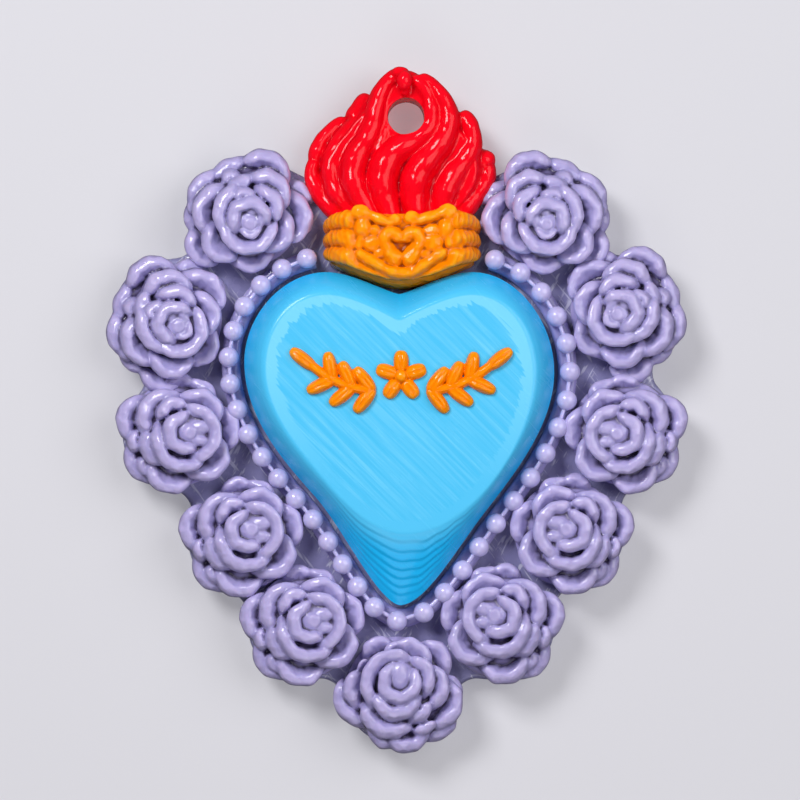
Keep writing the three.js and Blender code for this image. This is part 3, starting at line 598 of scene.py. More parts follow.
heartFinish = {
    # deep is the colour of the painted shade on the shoulder
    "colour": "4dbff0", "deep": "18b2f1", "shadeDeepestAt": -2.2, "band": "7ed6fb", "highlightTop": 0.8,
    # band is the paler blue of the raster streaks and of the painted highlight along the field's
    # rim
    "highlightLow": 0.1, "highlightFadeFrom": -20.0, "highlightFadeTo": -30.0, "rimAt": (-0.05, 0.1),
    "fieldAt": (0.15, 0.3), "jag": 1.5, "jagScale": 1.4, "rasterPitch": 0.38, "rasterBump": 0.12,
    "slant": 0.7071, "streakNoise": (3.0, 0.65), "streakAcross": 2.4, "streakAlong": 0.09,
    "streakTint": (0.42, 1.0), "linePitch": 0.24, "lineBump": 0.05, "skinBump": 0.06,
    "bumpStrength": 0.6, "rough": 0.16, "roughVary": 0.15, "roughAt": (0.7, 1.3), "coat": 0.1,
    "coatRough": 0.1, "index": 1.42, "specular": 0.35,
}


def makeHeartMaterial():
    # on the field: slanting passes under the gloss, inside a rim band of painted highlight that
    # fades lower down; on the shoulder: fine lines follow the outline, and painted shade deepens
    # the colour with the height lost. The attribute inset is how far inside the field's edge a
    # point lies, in millimetres, and is negative on the shoulder.
    finish = heartFinish
    material, tree, surface, place = startMaterial("heartBlue")

    def math(operation, a, b):
        # the operation on a and b in this material
        return addMath(tree, operation, a, b)
    parts = addNode(tree, "SeparateXYZ", {0: place}).outputs
    across = math("MULTIPLY", math("ADD", parts["X"], parts["Z"]), finish["slant"])
    along = math("MULTIPLY", math("SUBTRACT", parts["X"], parts["Z"]), finish["slant"])
    passes = math("PINGPONG", math("DIVIDE", across, finish["rasterPitch"]), 0.5)
    streakPlace = addNode(tree, "CombineXYZ", {
        0: math("MULTIPLY", across, finish["streakAcross"]),
        1: math("MULTIPLY", along, finish["streakAlong"])}).outputs[0]
    streaks = addNoise(tree, streakPlace, 1.0, *finish["streakNoise"])
    inset = addNode(tree, "Attribute", attribute_name="inset").outputs["Fac"]
    jag = addNoise(tree, streakPlace, finish["jagScale"], 1.0)
    jagged = math("SUBTRACT", inset, math("MULTIPLY", jag, finish["jag"]))
    onField = mapRange(tree, jagged, *finish["fieldAt"])
    inRim = mapRange(tree, inset, *finish["rimAt"])
    # painted shade: the colour darkens down the shoulder, away from the field
    clearOfShade = mapRange(tree, inset, finish["shadeDeepestAt"], 0.0, kind="SMOOTHSTEP")
    skinned = addNode(tree, "Group", {"Vector": place}, node_tree=castSkin).outputs
    tint = math("MULTIPLY", onField, mapRange(tree, streaks, *finish["streakTint"]))
    colour = mixColour(tree, tint, linear(finish["colour"]), linear(finish["band"]))
    colour = mixColour(tree, clearOfShade, linear(finish["deep"]), colour)
    # painted highlight: the rim band is paler near the top and fades lower down
    fade = mapRange(tree, parts["Z"], finish["highlightFadeFrom"], finish["highlightFadeTo"],
                    finish["highlightTop"], finish["highlightLow"])
    band = math("MULTIPLY", math("SUBTRACT", inRim, onField), fade)
    rough = mapRange(tree, math("ADD", skinned["Mottle"], streaks), *finish["roughAt"],
                     finish["rough"], finish["rough"] + finish["roughVary"])
    ridges = math("MULTIPLY", math("MULTIPLY", passes, onField), finish["rasterBump"])
    contour = math("PINGPONG", math("DIVIDE", inset, finish["linePitch"]), 0.5)
    outside = math("SUBTRACT", 1.0, inRim)
    lines = math("MULTIPLY", math("MULTIPLY", contour, outside), finish["lineBump"])
    dimples = math("MULTIPLY", skinned["Height"], finish["skinBump"])
    height = math("ADD", math("ADD", ridges, lines), dimples)
    bump = addNode(tree, "Bump", {
        "Height": height, "Strength": finish["bumpStrength"], "Distance": cast["bumpDepth"]})
    feed(tree, surface, {
        "Base Color": mixColour(tree, band, colour, linear(finish["band"])), "Roughness": rough,
        "Normal": bump.outputs[0], "Coat Weight": finish["coat"], "IOR": finish["index"],
        "Coat Roughness": finish["coatRough"], "Specular IOR Level": finish["specular"]})
    return material


lavender = makeCastMaterial("petalLavender")
# a lighter copy of the lavender for the beads, as painted light
litLavender = makeCastMaterial("litBeadLavender")
# a darker copy of the lavender for the plate, as painted shade
shadedLavender = makeCastMaterial("shadedPlateLavender")
amber = makeCastMaterial("crownAmber")
red = makeCastMaterial("flameRed")
blue = makeHeartMaterial()
print("materials ready")

# backing plate

plate = {
    "edgeRound": 0.45, "around": 720, "rimRows": 6, "flatRings": (0.05, 0.25, 0.5, 0.75, 0.9),
}


def nodeRim(node):
    # outline of a flat node: the corners of its front face, in order round their middle
    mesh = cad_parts[node].data
    flat = np.empty(len(mesh.vertices) * 3)
    mesh.vertices.foreach_get("co", flat)
    points = fromFrame(flat.reshape(-1, 3))
    front = np.unique(np.round(points[points[:, 2] > points[:, 2].max() - 0.01, :2], 4), axis=0)
    middle = front.mean(axis=0)
    order = np.argsort(np.arctan2(front[:, 1] - middle[1], front[:, 0] - middle[0]))
    return front[order]


def makePlate():
    # rings from the middle of the back, round the rounded edge, to the middle of the front:
    # outline - outward * inset, and middle + (outline - middle) * share inside the edge
    rim = smoothPath(nodeRim("backing_plate"), plate["around"], closed=True)
    outward = sideways(rim, closed=True)
    middle = rim.mean(axis=0)
    r = plate["edgeRound"]
    turn = np.linspace(0, np.pi / 2, plate["rimRows"])
    flats = [(middle + (rim - middle) * share, 0.0) for share in plate["flatRings"]]
    back = [(rim - outward * r * (1 - np.sin(t)), r * (1 - np.cos(t))) for t in turn]
    front = [(edge, plateTop - z) for edge, z in reversed(back)]
    top = [(edge, plateTop) for edge, _ in reversed(flats)]
    return closedGrid(np.array([level(edge, z) for edge, z in flats + back + front + top]))


addPiece("plate", makePlate(), shadedLavender, "plate_lavender", ["backing_plate"])
print("plate made")

# heart and its collar

heart = {
    "axisX": -0.55, "drop": 12.7, "halfWidth": 12.6, "height": 27.1, "wall": 2.6, "crown": 2.4,
    "shoulderPower": 1.7, "tipPower": 1.15, "tipFrom": 0.55, "tipTo": 0.95, "sink": 0.2,
    "wallFoot": 0.5, "wallHead": 0.6, "fadeIn": 2, "fadeOut": 0.8, "ripple": (1.3, 0.6, 2.9),
    "layers": 8, "rowsPerLayer": 10, "stepDepth": 0.34, "stepRun": 0.5, "stepElsewhere": 0.15,
    "waver": 0.16, "perCurve": 70, "fieldRings": 16, "fieldSpread": 1.5, "edgeEase": 6,
    "fieldEase": 60, "capInsets": (-1, 9),
}
# cubic curves: two handles and an end, in shares of the half width and of the height
heartSides = {
    "cleft": (0, -0.0665),
    "right": [
        ((0.11, -0.055), (0.31, 0), (0.47, 0)), ((0.75, 0), (1, -0.144), (1, -0.3)),
        ((1, -0.465), (0.717, -0.62), (0.536, -0.73)), ((0.35, -0.845), (0.16, -1), (0, -1)),
    ],
    "left": [
        ((0.11, -0.055), (0.31, 0), (0.47, 0)), ((0.75, 0), (1, -0.13), (1, -0.27)),
        ((1, -0.44), (0.73, -0.577), (0.53, -0.68)), ((0.341, -0.786), (0.15, -0.98), (0, -1)),
    ],
}
fieldSides = {
    "cleft": (0, -0.15),
    "right": [
        ((0.07, -0.132), (0.31, -0.07), (0.47, -0.07)),
        ((0.68, -0.07), (0.857, -0.17), (0.857, -0.306)),
        ((0.857, -0.424), (0.746, -0.535), (0.58, -0.635)),
        ((0.42, -0.73), (0.222, -0.78), (0.03, -0.78)),
    ],
    "left": [
        ((0.07, -0.132), (0.31, -0.07), (0.47, -0.07)),
        ((0.68, -0.07), (0.857, -0.16), (0.857, -0.29)),
        ((0.857, -0.406), (0.68, -0.51), (0.476, -0.62)),
        ((0.333, -0.7), (0.16, -0.78), (-0.03, -0.78)),
    ],
}


def heartLoop(sides, ease):
    # anticlockwise from the cleft; each curve is (1-t)^3 a + 3(1-t)^2 t b + 3(1-t) t^2 c + t^3 d;
    # then rounds of easing, a quarter of each neighbour and half of the point itself
    t = np.linspace(0, 1, heart["perCurve"], endpoint=False)[:, None]

    def half(curves, sign):
        # one side's curves as points, with the end closed off
        start, run = np.array(sides["cleft"], dtype=float), []
        for one, two, end in np.array(curves):
            run.append((1 - t) ** 3 * start + 3 * (1 - t) ** 2 * t * one
                       + 3 * (1 - t) * t * t * two + t ** 3 * end)
            start = end
        return np.concatenate([*run, start[None]]) * [sign, 1]
    shares = np.concatenate([half(sides["left"], -1)[:-1], half(sides["right"], 1)[:0:-1]])
    for _ in range(ease):
        shares = (np.roll(shares, 1, axis=0) + 2 * shares + np.roll(shares, -1, axis=0)) / 4
    return shares * [heart["halfWidth"], heart["height"]] + [heart["axisX"], -heart["drop"]]


def makeHeart():
    # wall, then a shoulder whose height is 1 - (1 - share)^power, climbed in soft, wavering layer
    # steps that fade away from the tip, with a straighter slope near the tip, then the flat field
    # drawn in towards its middle; also how far each point lies inside the field's edge
    edge = heartLoop(heartSides, heart["edgeEase"])
    field = heartLoop(fieldSides, heart["fieldEase"])
    middle = field.mean(axis=0)
    layers = heart["layers"]
    q = np.linspace(0, layers, layers * heart["rowsPerLayer"] + 1)[1:]
    nearTip = smoothStep(-edge[:, 1], heart["tipFrom"] * heart["height"] + heart["drop"],
                         heart["tipTo"] * heart["height"] + heart["drop"])
    slow, second, quick = heart["ripple"]
    ripple = np.sin(slow * edge[:, 0]) + second * np.sin(quick * edge[:, 0] + edge[:, 1])
    climb = q[:, None] + heart["waver"] * ripple[None]
    stepped = np.floor(climb) + smoothStep(climb - np.floor(climb), 0.0, heart["stepRun"])
    fadeOut = smoothStep(q, layers - heart["fadeOut"], layers)
    fade = smoothStep(q, 0, heart["fadeIn"]) * (1 - fadeOut)
    fade = fade[:, None] * (heart["stepElsewhere"] + (1 - heart["stepElsewhere"]) * nearTip[None])
    rise = (q[:, None] + (stepped - climb) * heart["stepDepth"] * fade) / layers
    power = heart["shoulderPower"] + (heart["tipPower"] - heart["shoulderPower"]) * nearTip[None]
    share = 1 - (1 - np.clip(q / layers, 0, 1)[:, None]) ** (1 / power)
    wallTop = plateTop + heart["wall"]
    walls = [plateTop - heart["sink"], plateTop + heart["wallFoot"],
             wallTop - heart["wallHead"], wallTop]
    shoulder = edge[None] + (field - edge)[None] * share[..., None]
    inwards = np.linspace(0, 1, heart["fieldRings"])[1:-1] ** heart["fieldSpread"]
    flat = field[None] + (middle - field)[None] * inwards[:, None, None]
    shape = closedGrid(np.concatenate([
        [level(edge, z) for z in walls],
        np.concatenate([shoulder, (wallTop + heart["crown"] * rise)[..., None]], axis=-1),
        [level(ring, wallTop + heart["crown"]) for ring in flat]]))
    width = np.linalg.norm(field - edge, axis=1)
    depth = np.linalg.norm(field - middle, axis=1)
    inset = np.concatenate([np.repeat(-width[None], len(walls), axis=0), (share - 1) * width,
                            inwards[:, None] * depth])
    return shape, np.concatenate([inset.ravel(), heart["capInsets"]])


heartShape, heartInset = makeHeart()
addPiece("heartBody", heartShape, blue, "heart_blue", ["heart"], inset=heartInset)

collar = {
    "gap": 0.4, "width": 1.55, "height": 1.3, "round": 0.45, "roundRows": 7, "sink": 0.1,
    "crownGap": 0.3, "openAbove": -20,
}


def makeCollar():
    # a rail with rounded shoulders carried round the heart from one end of the crown to the other
    loop = heartLoop(heartSides, heart["edgeEase"])
    low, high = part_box("crown_band")
    left, right = low.x * 1000 - collar["crownGap"], high.x * 1000 + collar["crownGap"]
    x, y = loop.T
    behind = (x > left) & (x < right) & (y > collar["openAbove"])
    path = loop[np.flatnonzero(~behind)[0]:np.flatnonzero(~behind)[-1] + 1]
    path = path + sideways(path) * (collar["gap"] + collar["width"] / 2)
    half, top, r = collar["width"] / 2, plateTop + collar["height"], collar["round"]
    turn = np.linspace(0, np.pi / 2, collar["roundRows"])
    corner = np.stack([half - r + r * np.cos(turn), top - r + r * np.sin(turn)], axis=1)
    foot = np.array([[half, plateTop - collar["sink"]]])
    section = np.concatenate([foot, corner, corner[::-1] * [-1, 1], foot * [-1, 1]])
    return sweep(path, np.repeat(section[None], len(path), axis=0))


addPiece("collarRail", makeCollar(), lavender, "rose_lavender", ["heart_collar"])

beads = {
    "count": 34, "radius": 0.84, "around": 28, "rows": 18, "neckRadius": 0.17, "neckFrom": 0.2,
    "neckTo": 0.8, "neckRows": 7, "neckSides": 12,
}
beadNodes = [f"bead_{i + 1:02d}" for i in range(beads["count"])]


def makeBeads():
    # balls where the CAD beads are, and a thin neck from each to the next
    middles = np.array([nodeMiddle(node) for node in beadNodes])
    radii = (beads["radius"],) * 3
    balls = [ball(middle, radii, beads["around"], beads["rows"]) for middle in middles]
    along = np.linspace(beads["neckFrom"], beads["neckTo"], beads["neckRows"])[:, None]
    necks = []
    for start, end in zip(middles[:-1], middles[1:]):
        ring = circle(beads["neckSides"]) * beads["neckRadius"] + [0, start[2]]
        path = start[:2] + (end - start)[:2] * along
        necks.append(sweep(path, np.repeat(ring[None], len(path), axis=0)))
    return together(balls + necks)


addPiece("beadString", makeBeads(), litLavender, "rose_lavender", beadNodes)
print("heart, collar and beads made")

# strands: the flame's tongues, the crown's strokes and the sprigs' stems, all along flat paths

strand = {
    "droop": 0.12, "belly": 0.6, "lumps": 0.0, "count": 60, "around": 28,
    "waves": ((2.3, 7), (4.1, 3), (3.1, 5)), "secondWave": 0.6, "topWave": 1.5, "endDrop": 0.8,
    "bulge": 1.3, "bulgeShare": 0.8, "endLeast": 0.02,
}


def strandShell(path, width, back, crest, **changes):
    # half width: from the root up to the belly as a sine, then to the tip as a smooth step, with
    # round ends and a sum of sines for lumps; section: half ellipse above the middle line, drawn
    # down to the back below it
    form = {**strand, **changes}
    line = smoothPath(path, form["count"])
    t = np.linspace(0, 1, form["count"])
    root, middle, tip = width
    swell = root + (middle - root) * np.sin(np.pi / 2 * np.minimum(1, t / form["belly"]))
    length = np.sum(np.linalg.norm(np.diff(line, axis=0), axis=1))
    slow, quick, high = (np.sin(t * length * beat + crest * shift) for beat, shift in form["waves"])
    half = (swell + (tip - swell) * smoothStep(t, form["belly"], 1)) / 2
    half = half * (1 + form["lumps"] * (slow + form["secondWave"] * quick))
    fromEnd = np.clip(np.minimum(t, 1 - t) * length / half, form["endLeast"], 1)
    ends = np.sqrt(1 - (1 - fromEnd) ** 2)
    top = back + (crest - back) * (1 - form["droop"] * np.abs(t - form["belly"]))
    top = top - half * (1 - ends) * form["endDrop"]
    top = top + form["lumps"] * form["topWave"] * high
    rise = np.minimum(half * form["bulge"], (top - back) * form["bulgeShare"])
    across, up = circle(form["around"]).T
    side = (top - rise)[:, None]
    height = np.where(up > 0, side + up * rise[:, None], side + up * (side - back))
    return sweep(line, np.stack([across * (half * ends)[:, None], height], axis=-1))


# flame

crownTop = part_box("crown_band")[1].z * 1000
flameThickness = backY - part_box("flame")[0].y * 1000
flame = {
    "voxel": 0.085, "rounds": 2, "holeRadius": 1.5, "holeSides": 64, "drill": (-5.0, 12.0),
    "tracedAt": 6.5, "back": 0.3, "strand": {"droop": 0.3, "belly": 0.27, "lumps": 0.03},
    "uneven": ((0.05, 3.1), (0.02, 1.1)), "easing": 90, "webThickness": 4.3, "webPoints": 160,
    "webBack": ((0.3, 0.0), (0.97, 0.0), (1.0, 0.4)),
    "webFront": ((1.0, -1.2), (0.9, 0.0), (0.3, 0.0)),
    # from here: mm right of the hole and up from the crown's top edge, as the camera sees it
    "tongues": [  # path, widths at the root, the belly and the tip, share of the thickness
        ([(-4.6, -0.9), (-5.6, 0.1), (-6.8, 1.25), (-7.6, 2.5), (-7.8, 3.6), (-7.4, 4.6)],
         (0.9, 1.75, 1.2), 0.7),
        ([(-7.6, 3.9), (-7.4, 5.1), (-6.85, 6.25), (-6.0, 7.15), (-4.9, 7.9)],
         (1.0, 1.35, 1.1), 0.58),
        ([(-3.9, -0.9), (-4.6, 0.2), (-5.7, 1.6), (-6.2, 3.1), (-6.15, 4.5), (-5.55, 5.9),
          (-4.65, 7.0), (-3.9, 7.8), (-3.5, 8.3)], (0.9, 1.7, 1.3), 0.8),
        ([(-4.5, 7.3), (-4.05, 8.4), (-3.5, 9.3), (-2.85, 9.75)], (1.1, 1.6, 1.4), 0.62),
        ([(-2.5, -0.9), (-3.05, 0.1), (-3.95, 1.5), (-4.4, 3.2), (-4.05, 4.7), (-3.3, 6.0),
          (-2.8, 7.2), (-2.5, 8.5), (-2.15, 9.7), (-1.5, 10.75), (-0.6, 11.3), (0.2, 11.4)],
         (0.9, 2.25, 1.4), 0.95),
        ([(-3.1, 3.8), (-2.65, 4.8), (-2.1, 5.7), (-1.85, 6.7), (-2.0, 8.0), (-1.7, 9.4),
          (-1.0, 10.4)], (0.7, 1.15, 0.9), 0.8),
        ([(-0.95, -1.1), (-1.25, -0.1), (-1.75, 1.2), (-2.0, 2.8), (-1.55, 4.2), (-0.65, 5.15),
          (0.35, 5.7), (1.3, 6.35), (1.95, 7.2), (2.12, 8.3), (1.9, 9.5), (1.35, 10.5),
          (0.4, 11.2)], (0.9, 2.6, 1.25), 1.0),
        ([(1.15, -1.1), (0.95, -0.1), (0.72, 1.2), (0.75, 2.4), (1.2, 3.6), (2.2, 4.9), (3.1, 6.1),
          (3.55, 7.4), (3.4, 8.65), (2.8, 9.8), (1.9, 10.7), (0.9, 11.2)], (1.0, 2.6, 1.2), 0.98),
        ([(3.2, -0.9), (3.1, 0.2), (3.25, 1.6), (3.9, 3.0), (4.8, 4.2), (5.4, 5.4), (5.45, 6.6),
          (5.0, 7.7), (4.3, 8.2)], (0.9, 2.15, 1.5), 0.88),
        ([(3.9, -0.8), (4.7, 0.3), (5.6, 1.3), (6.4, 2.4), (6.75, 3.5), (6.5, 4.5)],
         (0.9, 1.9, 1.5), 0.7),
        ([(-2.2, 9.2), (-1.75, 10.4), (-0.8, 11.15), (0.3, 11.2), (1.4, 10.6), (2.0, 9.5)],
         (1.0, 1.3, 1.0), 0.75),
    ],
    "drops": [  # middle, half sizes, height of the middle
        ((-0.15, 10.65), (0.62, 0.85, 0.75), 4.85), ((-0.1, 9.95), (0.38, 0.6, 0.5), 4.5),
        ((-0.45, 11.3), (0.75, 0.5, 0.8), 4.2), ((6.35, 4.1), (1.0, 0.95, 1.1), 2.5),
    ],
    "web": [
        (-4.6, -0.5), (-6.6, 2.1), (-6.7, 4.5), (-5, 7), (-2.9, 9.3), (-1, 10.8), (1, 10.8),
        (3, 9.2), (4.9, 6.7), (6.3, 4.5), (6.2, 2.2), (4, -0.5),
    ],
}


def makeFlame():
    # tongues, drops and a web behind them, melted together, with the round hole cut through; the
    # web's rings are shares of its outline, at heights counted from its back and from its front
    back, front = flame["back"], flame["webThickness"]

    def place(points, height):
        # from the traced picture to the height where it lies
        return asSeen(np.array(points) + [0, crownTop], height)
    shells = [strandShell(place(path, flame["tracedAt"]), width, back, flameThickness * crest,
                          **flame["strand"]) for path, width, crest in flame["tongues"]]
    shells += [ball((*place(at, height), height), size) for at, size, height in flame["drops"]]
    web = smoothPath(place(flame["web"], front), flame["webPoints"], closed=True)
    middle = web.mean(axis=0)
    shells.append(closedGrid(np.array([
        level(middle + (web - middle) * share, start + up)
        for start, rings in ((back, flame["webBack"]), (front, flame["webFront"]))
        for share, up in rings])))
    ring = circle(flame["holeSides"]) * flame["holeRadius"]
    drill = closedGrid(np.array([level(ring, z) for z in flame["drill"]]))
    cutter = bpy.data.objects.new("drill", newMesh("drill", *drill))
    bpy.context.collection.objects.link(cutter)
    shape = fuse(shells, flame["voxel"], flame["rounds"], cutter)
    bpy.data.objects.remove(cutter)
    return uneven(shape, *flame["uneven"])


flameShape = makeFlame()
addPiece("flameTongues", flameShape, red, "flame_red", ["flame"],
         hollow=hollows(flameShape, flame["easing"]))
print("flame made")

# crown

crown = {
    "x": -0.33, "halfWidth": 6.2, "sideHeight": 4.15, "point": 1.68, "pointReach": 7.0,
    "depth": 4.3, "endDepth": 0.9, "flat": 0.5, "straight": 0.58, "across": 241, "rows": 85,
    "sink": 0.1, "topDrop": 0.25, "topNotch": 0.3, "notchReach": (1.6, 3.2), "topLift": 0.1,
    "endDrop": 0.8, "endPower": 3, "endLift": 0.1, "endLiftFrom": 0.6, "ribFadeFrom": 0.5,
    "drift": (1.6, 9, 1.1, 3.1, 4), "bendSteps": 200, "strokeLumps": 0.04, "strokeCount": 30,
    "ropes": 3, "ropeRise": 0.55, "ropePower": 0.42, "ropeFade": 0.25, "edgeRound": 0.25,
    "edgePower": 24, "ribPitch": 0.5, "ribRise": 0.038, "ribFade": 0.6, "skirt": 0.62,
    "skirtFade": 0.7,
    "skirtRings": ((-0.15, 0.88), (-0.05, 0.8), (0.45, 0.7), (0.8, 0.52), (0.97, 0.3), (1.0, 0.0)),
    "strand": {"droop": 0.0, "belly": 0.5, "around": 18}, "strandDepth": 1.3, "knobSize": 1.1,
    "voxel": 0.075, "rounds": 7, "uneven": ((0.05, 1.4), (0.025, 0.75)), "easing": 70,
    # from here: mm right of the crown's middle and down from its top edge, as the camera sees it
    "strokes": [  # path, width, rise
        ([(-3.35, 0.15), (-2.75, 0.35), (-1.95, 0.65), (-1.25, 0.9), (-0.5, 1.05)], 0.95, 0.5),
        ([(3.7, 0.05), (2.9, 0.3), (2.0, 0.6), (1.2, 0.85), (0.6, 1.05)], 0.95, 0.5),
        ([(-3.8, 3.3), (-3.05, 3.75), (-1.95, 4.4), (-0.95, 4.9), (0.05, 5.1), (1.0, 4.9),
          (1.9, 4.35), (2.9, 3.65), (3.7, 3.2)], 1.05, 0.5),
        ([(-3.45, 0.3), (-3.5, 1.2), (-3.35, 2.1), (-3.7, 3.2)], 0.8, 0.3),
        ([(3.85, 0.3), (3.95, 1.2), (3.8, 2.1), (3.9, 3.1)], 0.8, 0.3),
    ],
    "knobs": [  # right, down, half width, half height, rise
        (-3.4, 0.15, 0.72, 0.62, 0.5), (3.75, 0.1, 0.72, 0.65, 0.5), (-0.65, 0.75, 0.55, 0.45, 0.4),
        (0.8, 0.55, 0.62, 0.52, 0.45), (-3.2, 1.35, 0.68, 0.9, 0.5), (3.6, 1.5, 0.62, 0.9, 0.45),
        (-2.2, 1.65, 0.52, 0.48, 0.35), (2.45, 1.65, 0.68, 0.52, 0.38),
        (-2.4, 2.65, 0.78, 0.66, 0.48), (2.5, 2.6, 0.85, 0.74, 0.52),
        (-1.75, 3.45, 0.6, 0.46, 0.36), (1.85, 3.5, 0.62, 0.46, 0.36),
        (-1.25, 4.05, 0.45, 0.36, 0.28), (1.35, 4.1, 0.45, 0.36, 0.28), (-4.2, 2.6, 0.5, 0.7, 0.4),
        (4.5, 2.7, 0.52, 0.7, 0.4), (-4.5, 3.35, 0.55, 0.5, 0.36), (-4.5, 0.65, 0.48, 0.7, 0.32),
        (4.5, 0.7, 0.48, 0.72, 0.32), (-1.5, 1.55, 0.4, 0.35, 0.25),
    ],
    "emblem": {  # widths at the cleft, the side and the tip; curve by two handles and the tip
        "halfWidth": 1.42, "height": 2.5, "drop": 2.58, "widths": (1.33, 1.54, 1.82), "rise": 0.6,
        "lumps": 0.03, "count": 40,
        "curve": ((0.5, 0.62), (1.95, 0.15), (0, -0.74))},
}


def crownBend(s):
    # round the front of the crown: level up to the flat share, then a quarter ellipse to the end;
    # gives how far across, how far forward and the direction that faces out
    beyond = np.clip((np.abs(s) - crown["flat"]) / (1 - crown["flat"]), 0, 1)
    turn = beyond * np.pi / 2
    reach = crown["halfWidth"] - crown["ropeRise"] * 0.5
    straight = reach * crown["straight"]
    x = np.minimum(np.abs(s) / crown["flat"], 1) * straight + (reach - straight) * np.sin(turn)
    deep = crown["depth"] - crown["endDepth"]
    z = plateTop + crown["endDepth"] + deep * np.cos(turn)
    out = np.stack([np.sign(s) * np.sin(turn), np.cos(turn)], axis=-1)
    return np.sign(s) * x, z, out, beyond


def makeBand():
    # s runs round the front, v from the lower to the upper edge; towards the ends the front swells
    # into ropes, |sin| of v, crossed by small ribs, cosine of the length round the bend with a
    # drift; skirt rings close it underneath
    s, v = np.linspace(-1, 1, crown["across"]), np.linspace(0, 1, crown["rows"])
    x, z, out, beyond = crownBend(s)
    run = np.cumsum(np.hypot(np.gradient(x), np.gradient(z)))
    point = (crown["point"] * (1 - smoothStep(np.abs(x), 0, crown["pointReach"]))
             - crown["endLift"] * smoothStep(beyond, crown["endLiftFrom"], 1))
    notch = 1 - smoothStep(np.abs(x), *crown["notchReach"])
    top = (crownTop - crown["topDrop"] - crown["topNotch"] * notch
           + crown["topLift"] - crown["endDrop"] * beyond ** crown["endPower"])
    bottom = crownTop - crown["sideHeight"] - point
    rope = np.abs(np.sin(np.pi * v * crown["ropes"]))[None] ** crown["ropePower"]
    fade = smoothStep(beyond, 0.0, crown["ropeFade"])[:, None]
    edge = -crown["edgeRound"] * (np.abs(2 * v - 1) ** crown["edgePower"])[None]
    high, climb, wide, beat, skew = crown["drift"]
    drift = high * np.sin(v * climb + 1)[None] + wide * np.sin(beat * run[:, None] + skew * v[None])
    rib = np.cos(2 * np.pi * (run / crown["ribPitch"])[:, None] + drift)
    rib = rib * (1 - crown["ribFade"] * smoothStep(beyond, crown["ribFadeFrom"], 1))[:, None]
    proud = fade * (rope * crown["ropeRise"] + rib * crown["ribRise"] * rope) + edge
    y = bottom[:, None] + (top - bottom)[:, None] * v[None]
    across = crown["x"] + x
    face = np.stack([across[:, None] + out[:, :1] * proud, y,
                     z[:, None] + out[:, 1:] * proud], axis=-1)
    foot = plateTop - crown["sink"]
    lift = z - plateTop + crown["sink"]
    skirt = crown["skirt"] * (1 - crown["skirtFade"] * beyond)
    under = [np.stack([across, bottom - down * skirt, foot + lift * share], axis=-1)
             for down, share in crown["skirtRings"][::-1]]
    high = np.stack([across, top, np.full_like(x, foot)], axis=-1)
    return closedGrid(np.concatenate([np.stack(under, axis=1), face, high[:, None]], axis=1))


def makeCrown():
    # the band with strokes, knobs and the emblem's two halves on its front
    front = plateTop + crown["depth"]

    def place(right, down):
        # from the traced picture to the crown's front
        return asSeen((crown["x"] + right, crownTop - down), front)

    def stroke(path, width, rise, lumps, count):
        # a strand that stands proud of the front by its rise
        crest = front + rise
        return strandShell(path, width, crest - crown["strandDepth"], crest, lumps=lumps,
                           count=count, **crown["strand"])
    shells = [makeBand()]
    for path, width, rise in crown["strokes"]:
        shells.append(stroke([place(*at) for at in path], (width,) * 3, rise,
                             crown["strokeLumps"], crown["strokeCount"]))
    bendX, bendZ, _, _ = crownBend(np.linspace(0, 1, crown["bendSteps"]))
    for right, down, halfWidth, halfHeight, rise in crown["knobs"]:
        size = (halfWidth * crown["knobSize"], halfHeight * crown["knobSize"], rise)
        shells.append(ball((*place(right, down), np.interp(abs(right), bendX, bendZ)), size))
    emblem = crown["emblem"]
    t = np.linspace(0, 1, emblem["count"])[:, None]
    one, two, low = np.array(emblem["curve"]) * [emblem["halfWidth"], emblem["height"]]
    half = 3 * (1 - t) ** 2 * t * one + 3 * (1 - t) * t * t * two + t ** 3 * low
    for side in (-1, 1):
        path = asSeen(half * [side, 1] + [crown["x"], crownTop - emblem["drop"]], front)
        shells.append(stroke(path, emblem["widths"], emblem["rise"], emblem["lumps"],
                             emblem["count"]))
    return uneven(fuse(shells, crown["voxel"], crown["rounds"]), *crown["uneven"])


crownShape = makeCrown()
addPiece("crownBand", crownShape, amber, "crown_amber", ["crown_band", "crown_heart"],
         hollow=hollows(crownShape, crown["easing"]))
print("crown made")

# ornament on the heart

ornament = {
    "at": (-0.4, -21.2), "start": 2.3, "length": 5.2, "bow": 2.2, "stem": 0.8, "stemRise": 0.8,
    "leaf": (2.5, 1.15), "leafAway": 0.42, "pairs": 3, "opening": 0.9, "endAt": 0.92, "rise": 0.75,
    "petals": 5, "petalAt": 1.25, "petal": (1.7, 1.25), "petalRise": 0.85, "eye": 0.6, "sink": 0.3,
    "leafRows": 22, "leafAround": 20, "leafPole": 0.06, "taper": 0.65, "under": -0.5,
    "stemPoints": 5, "vein": 0.18, "veinWidth": 0.12, "voxel": 0.06, "rounds": 4, "easing": 50,
}
heartTop = plateTop + heart["wall"] + heart["crown"]


def away(angle, distance):
    # how far right and up a distance in a direction goes
    return distance * np.array([np.cos(angle), np.sin(angle)])


def leafShell(at, angle, length, width, rise):
    # a pointed oval dome turned by an angle, lowest at its rim, with a shallow vein along it:
    # half width (sin p)^taper, height sin a less a bell curve across
    pole = ornament["leafPole"]
    p = np.linspace(pole, np.pi - pole, ornament["leafRows"])[:, None]
    a = np.linspace(0, 2 * np.pi, ornament["leafAround"], endpoint=False)[None]
    taper = np.sin(p) ** ornament["taper"]
    along = -np.cos(p) * length / 2 * np.ones_like(a)
    across = np.cos(a) * taper * width / 2
    vein = 1 - ornament["vein"] * np.exp(-(across / ornament["veinWidth"]) ** 2)
    height = heartTop + np.maximum(np.sin(a), ornament["under"]) * taper * rise * vein
    c, s = np.cos(angle), np.sin(angle)
    points = [at[0] + along * c - across * s, at[1] + along * s + across * c, height]
    return closedGrid(np.stack(points, axis=-1))


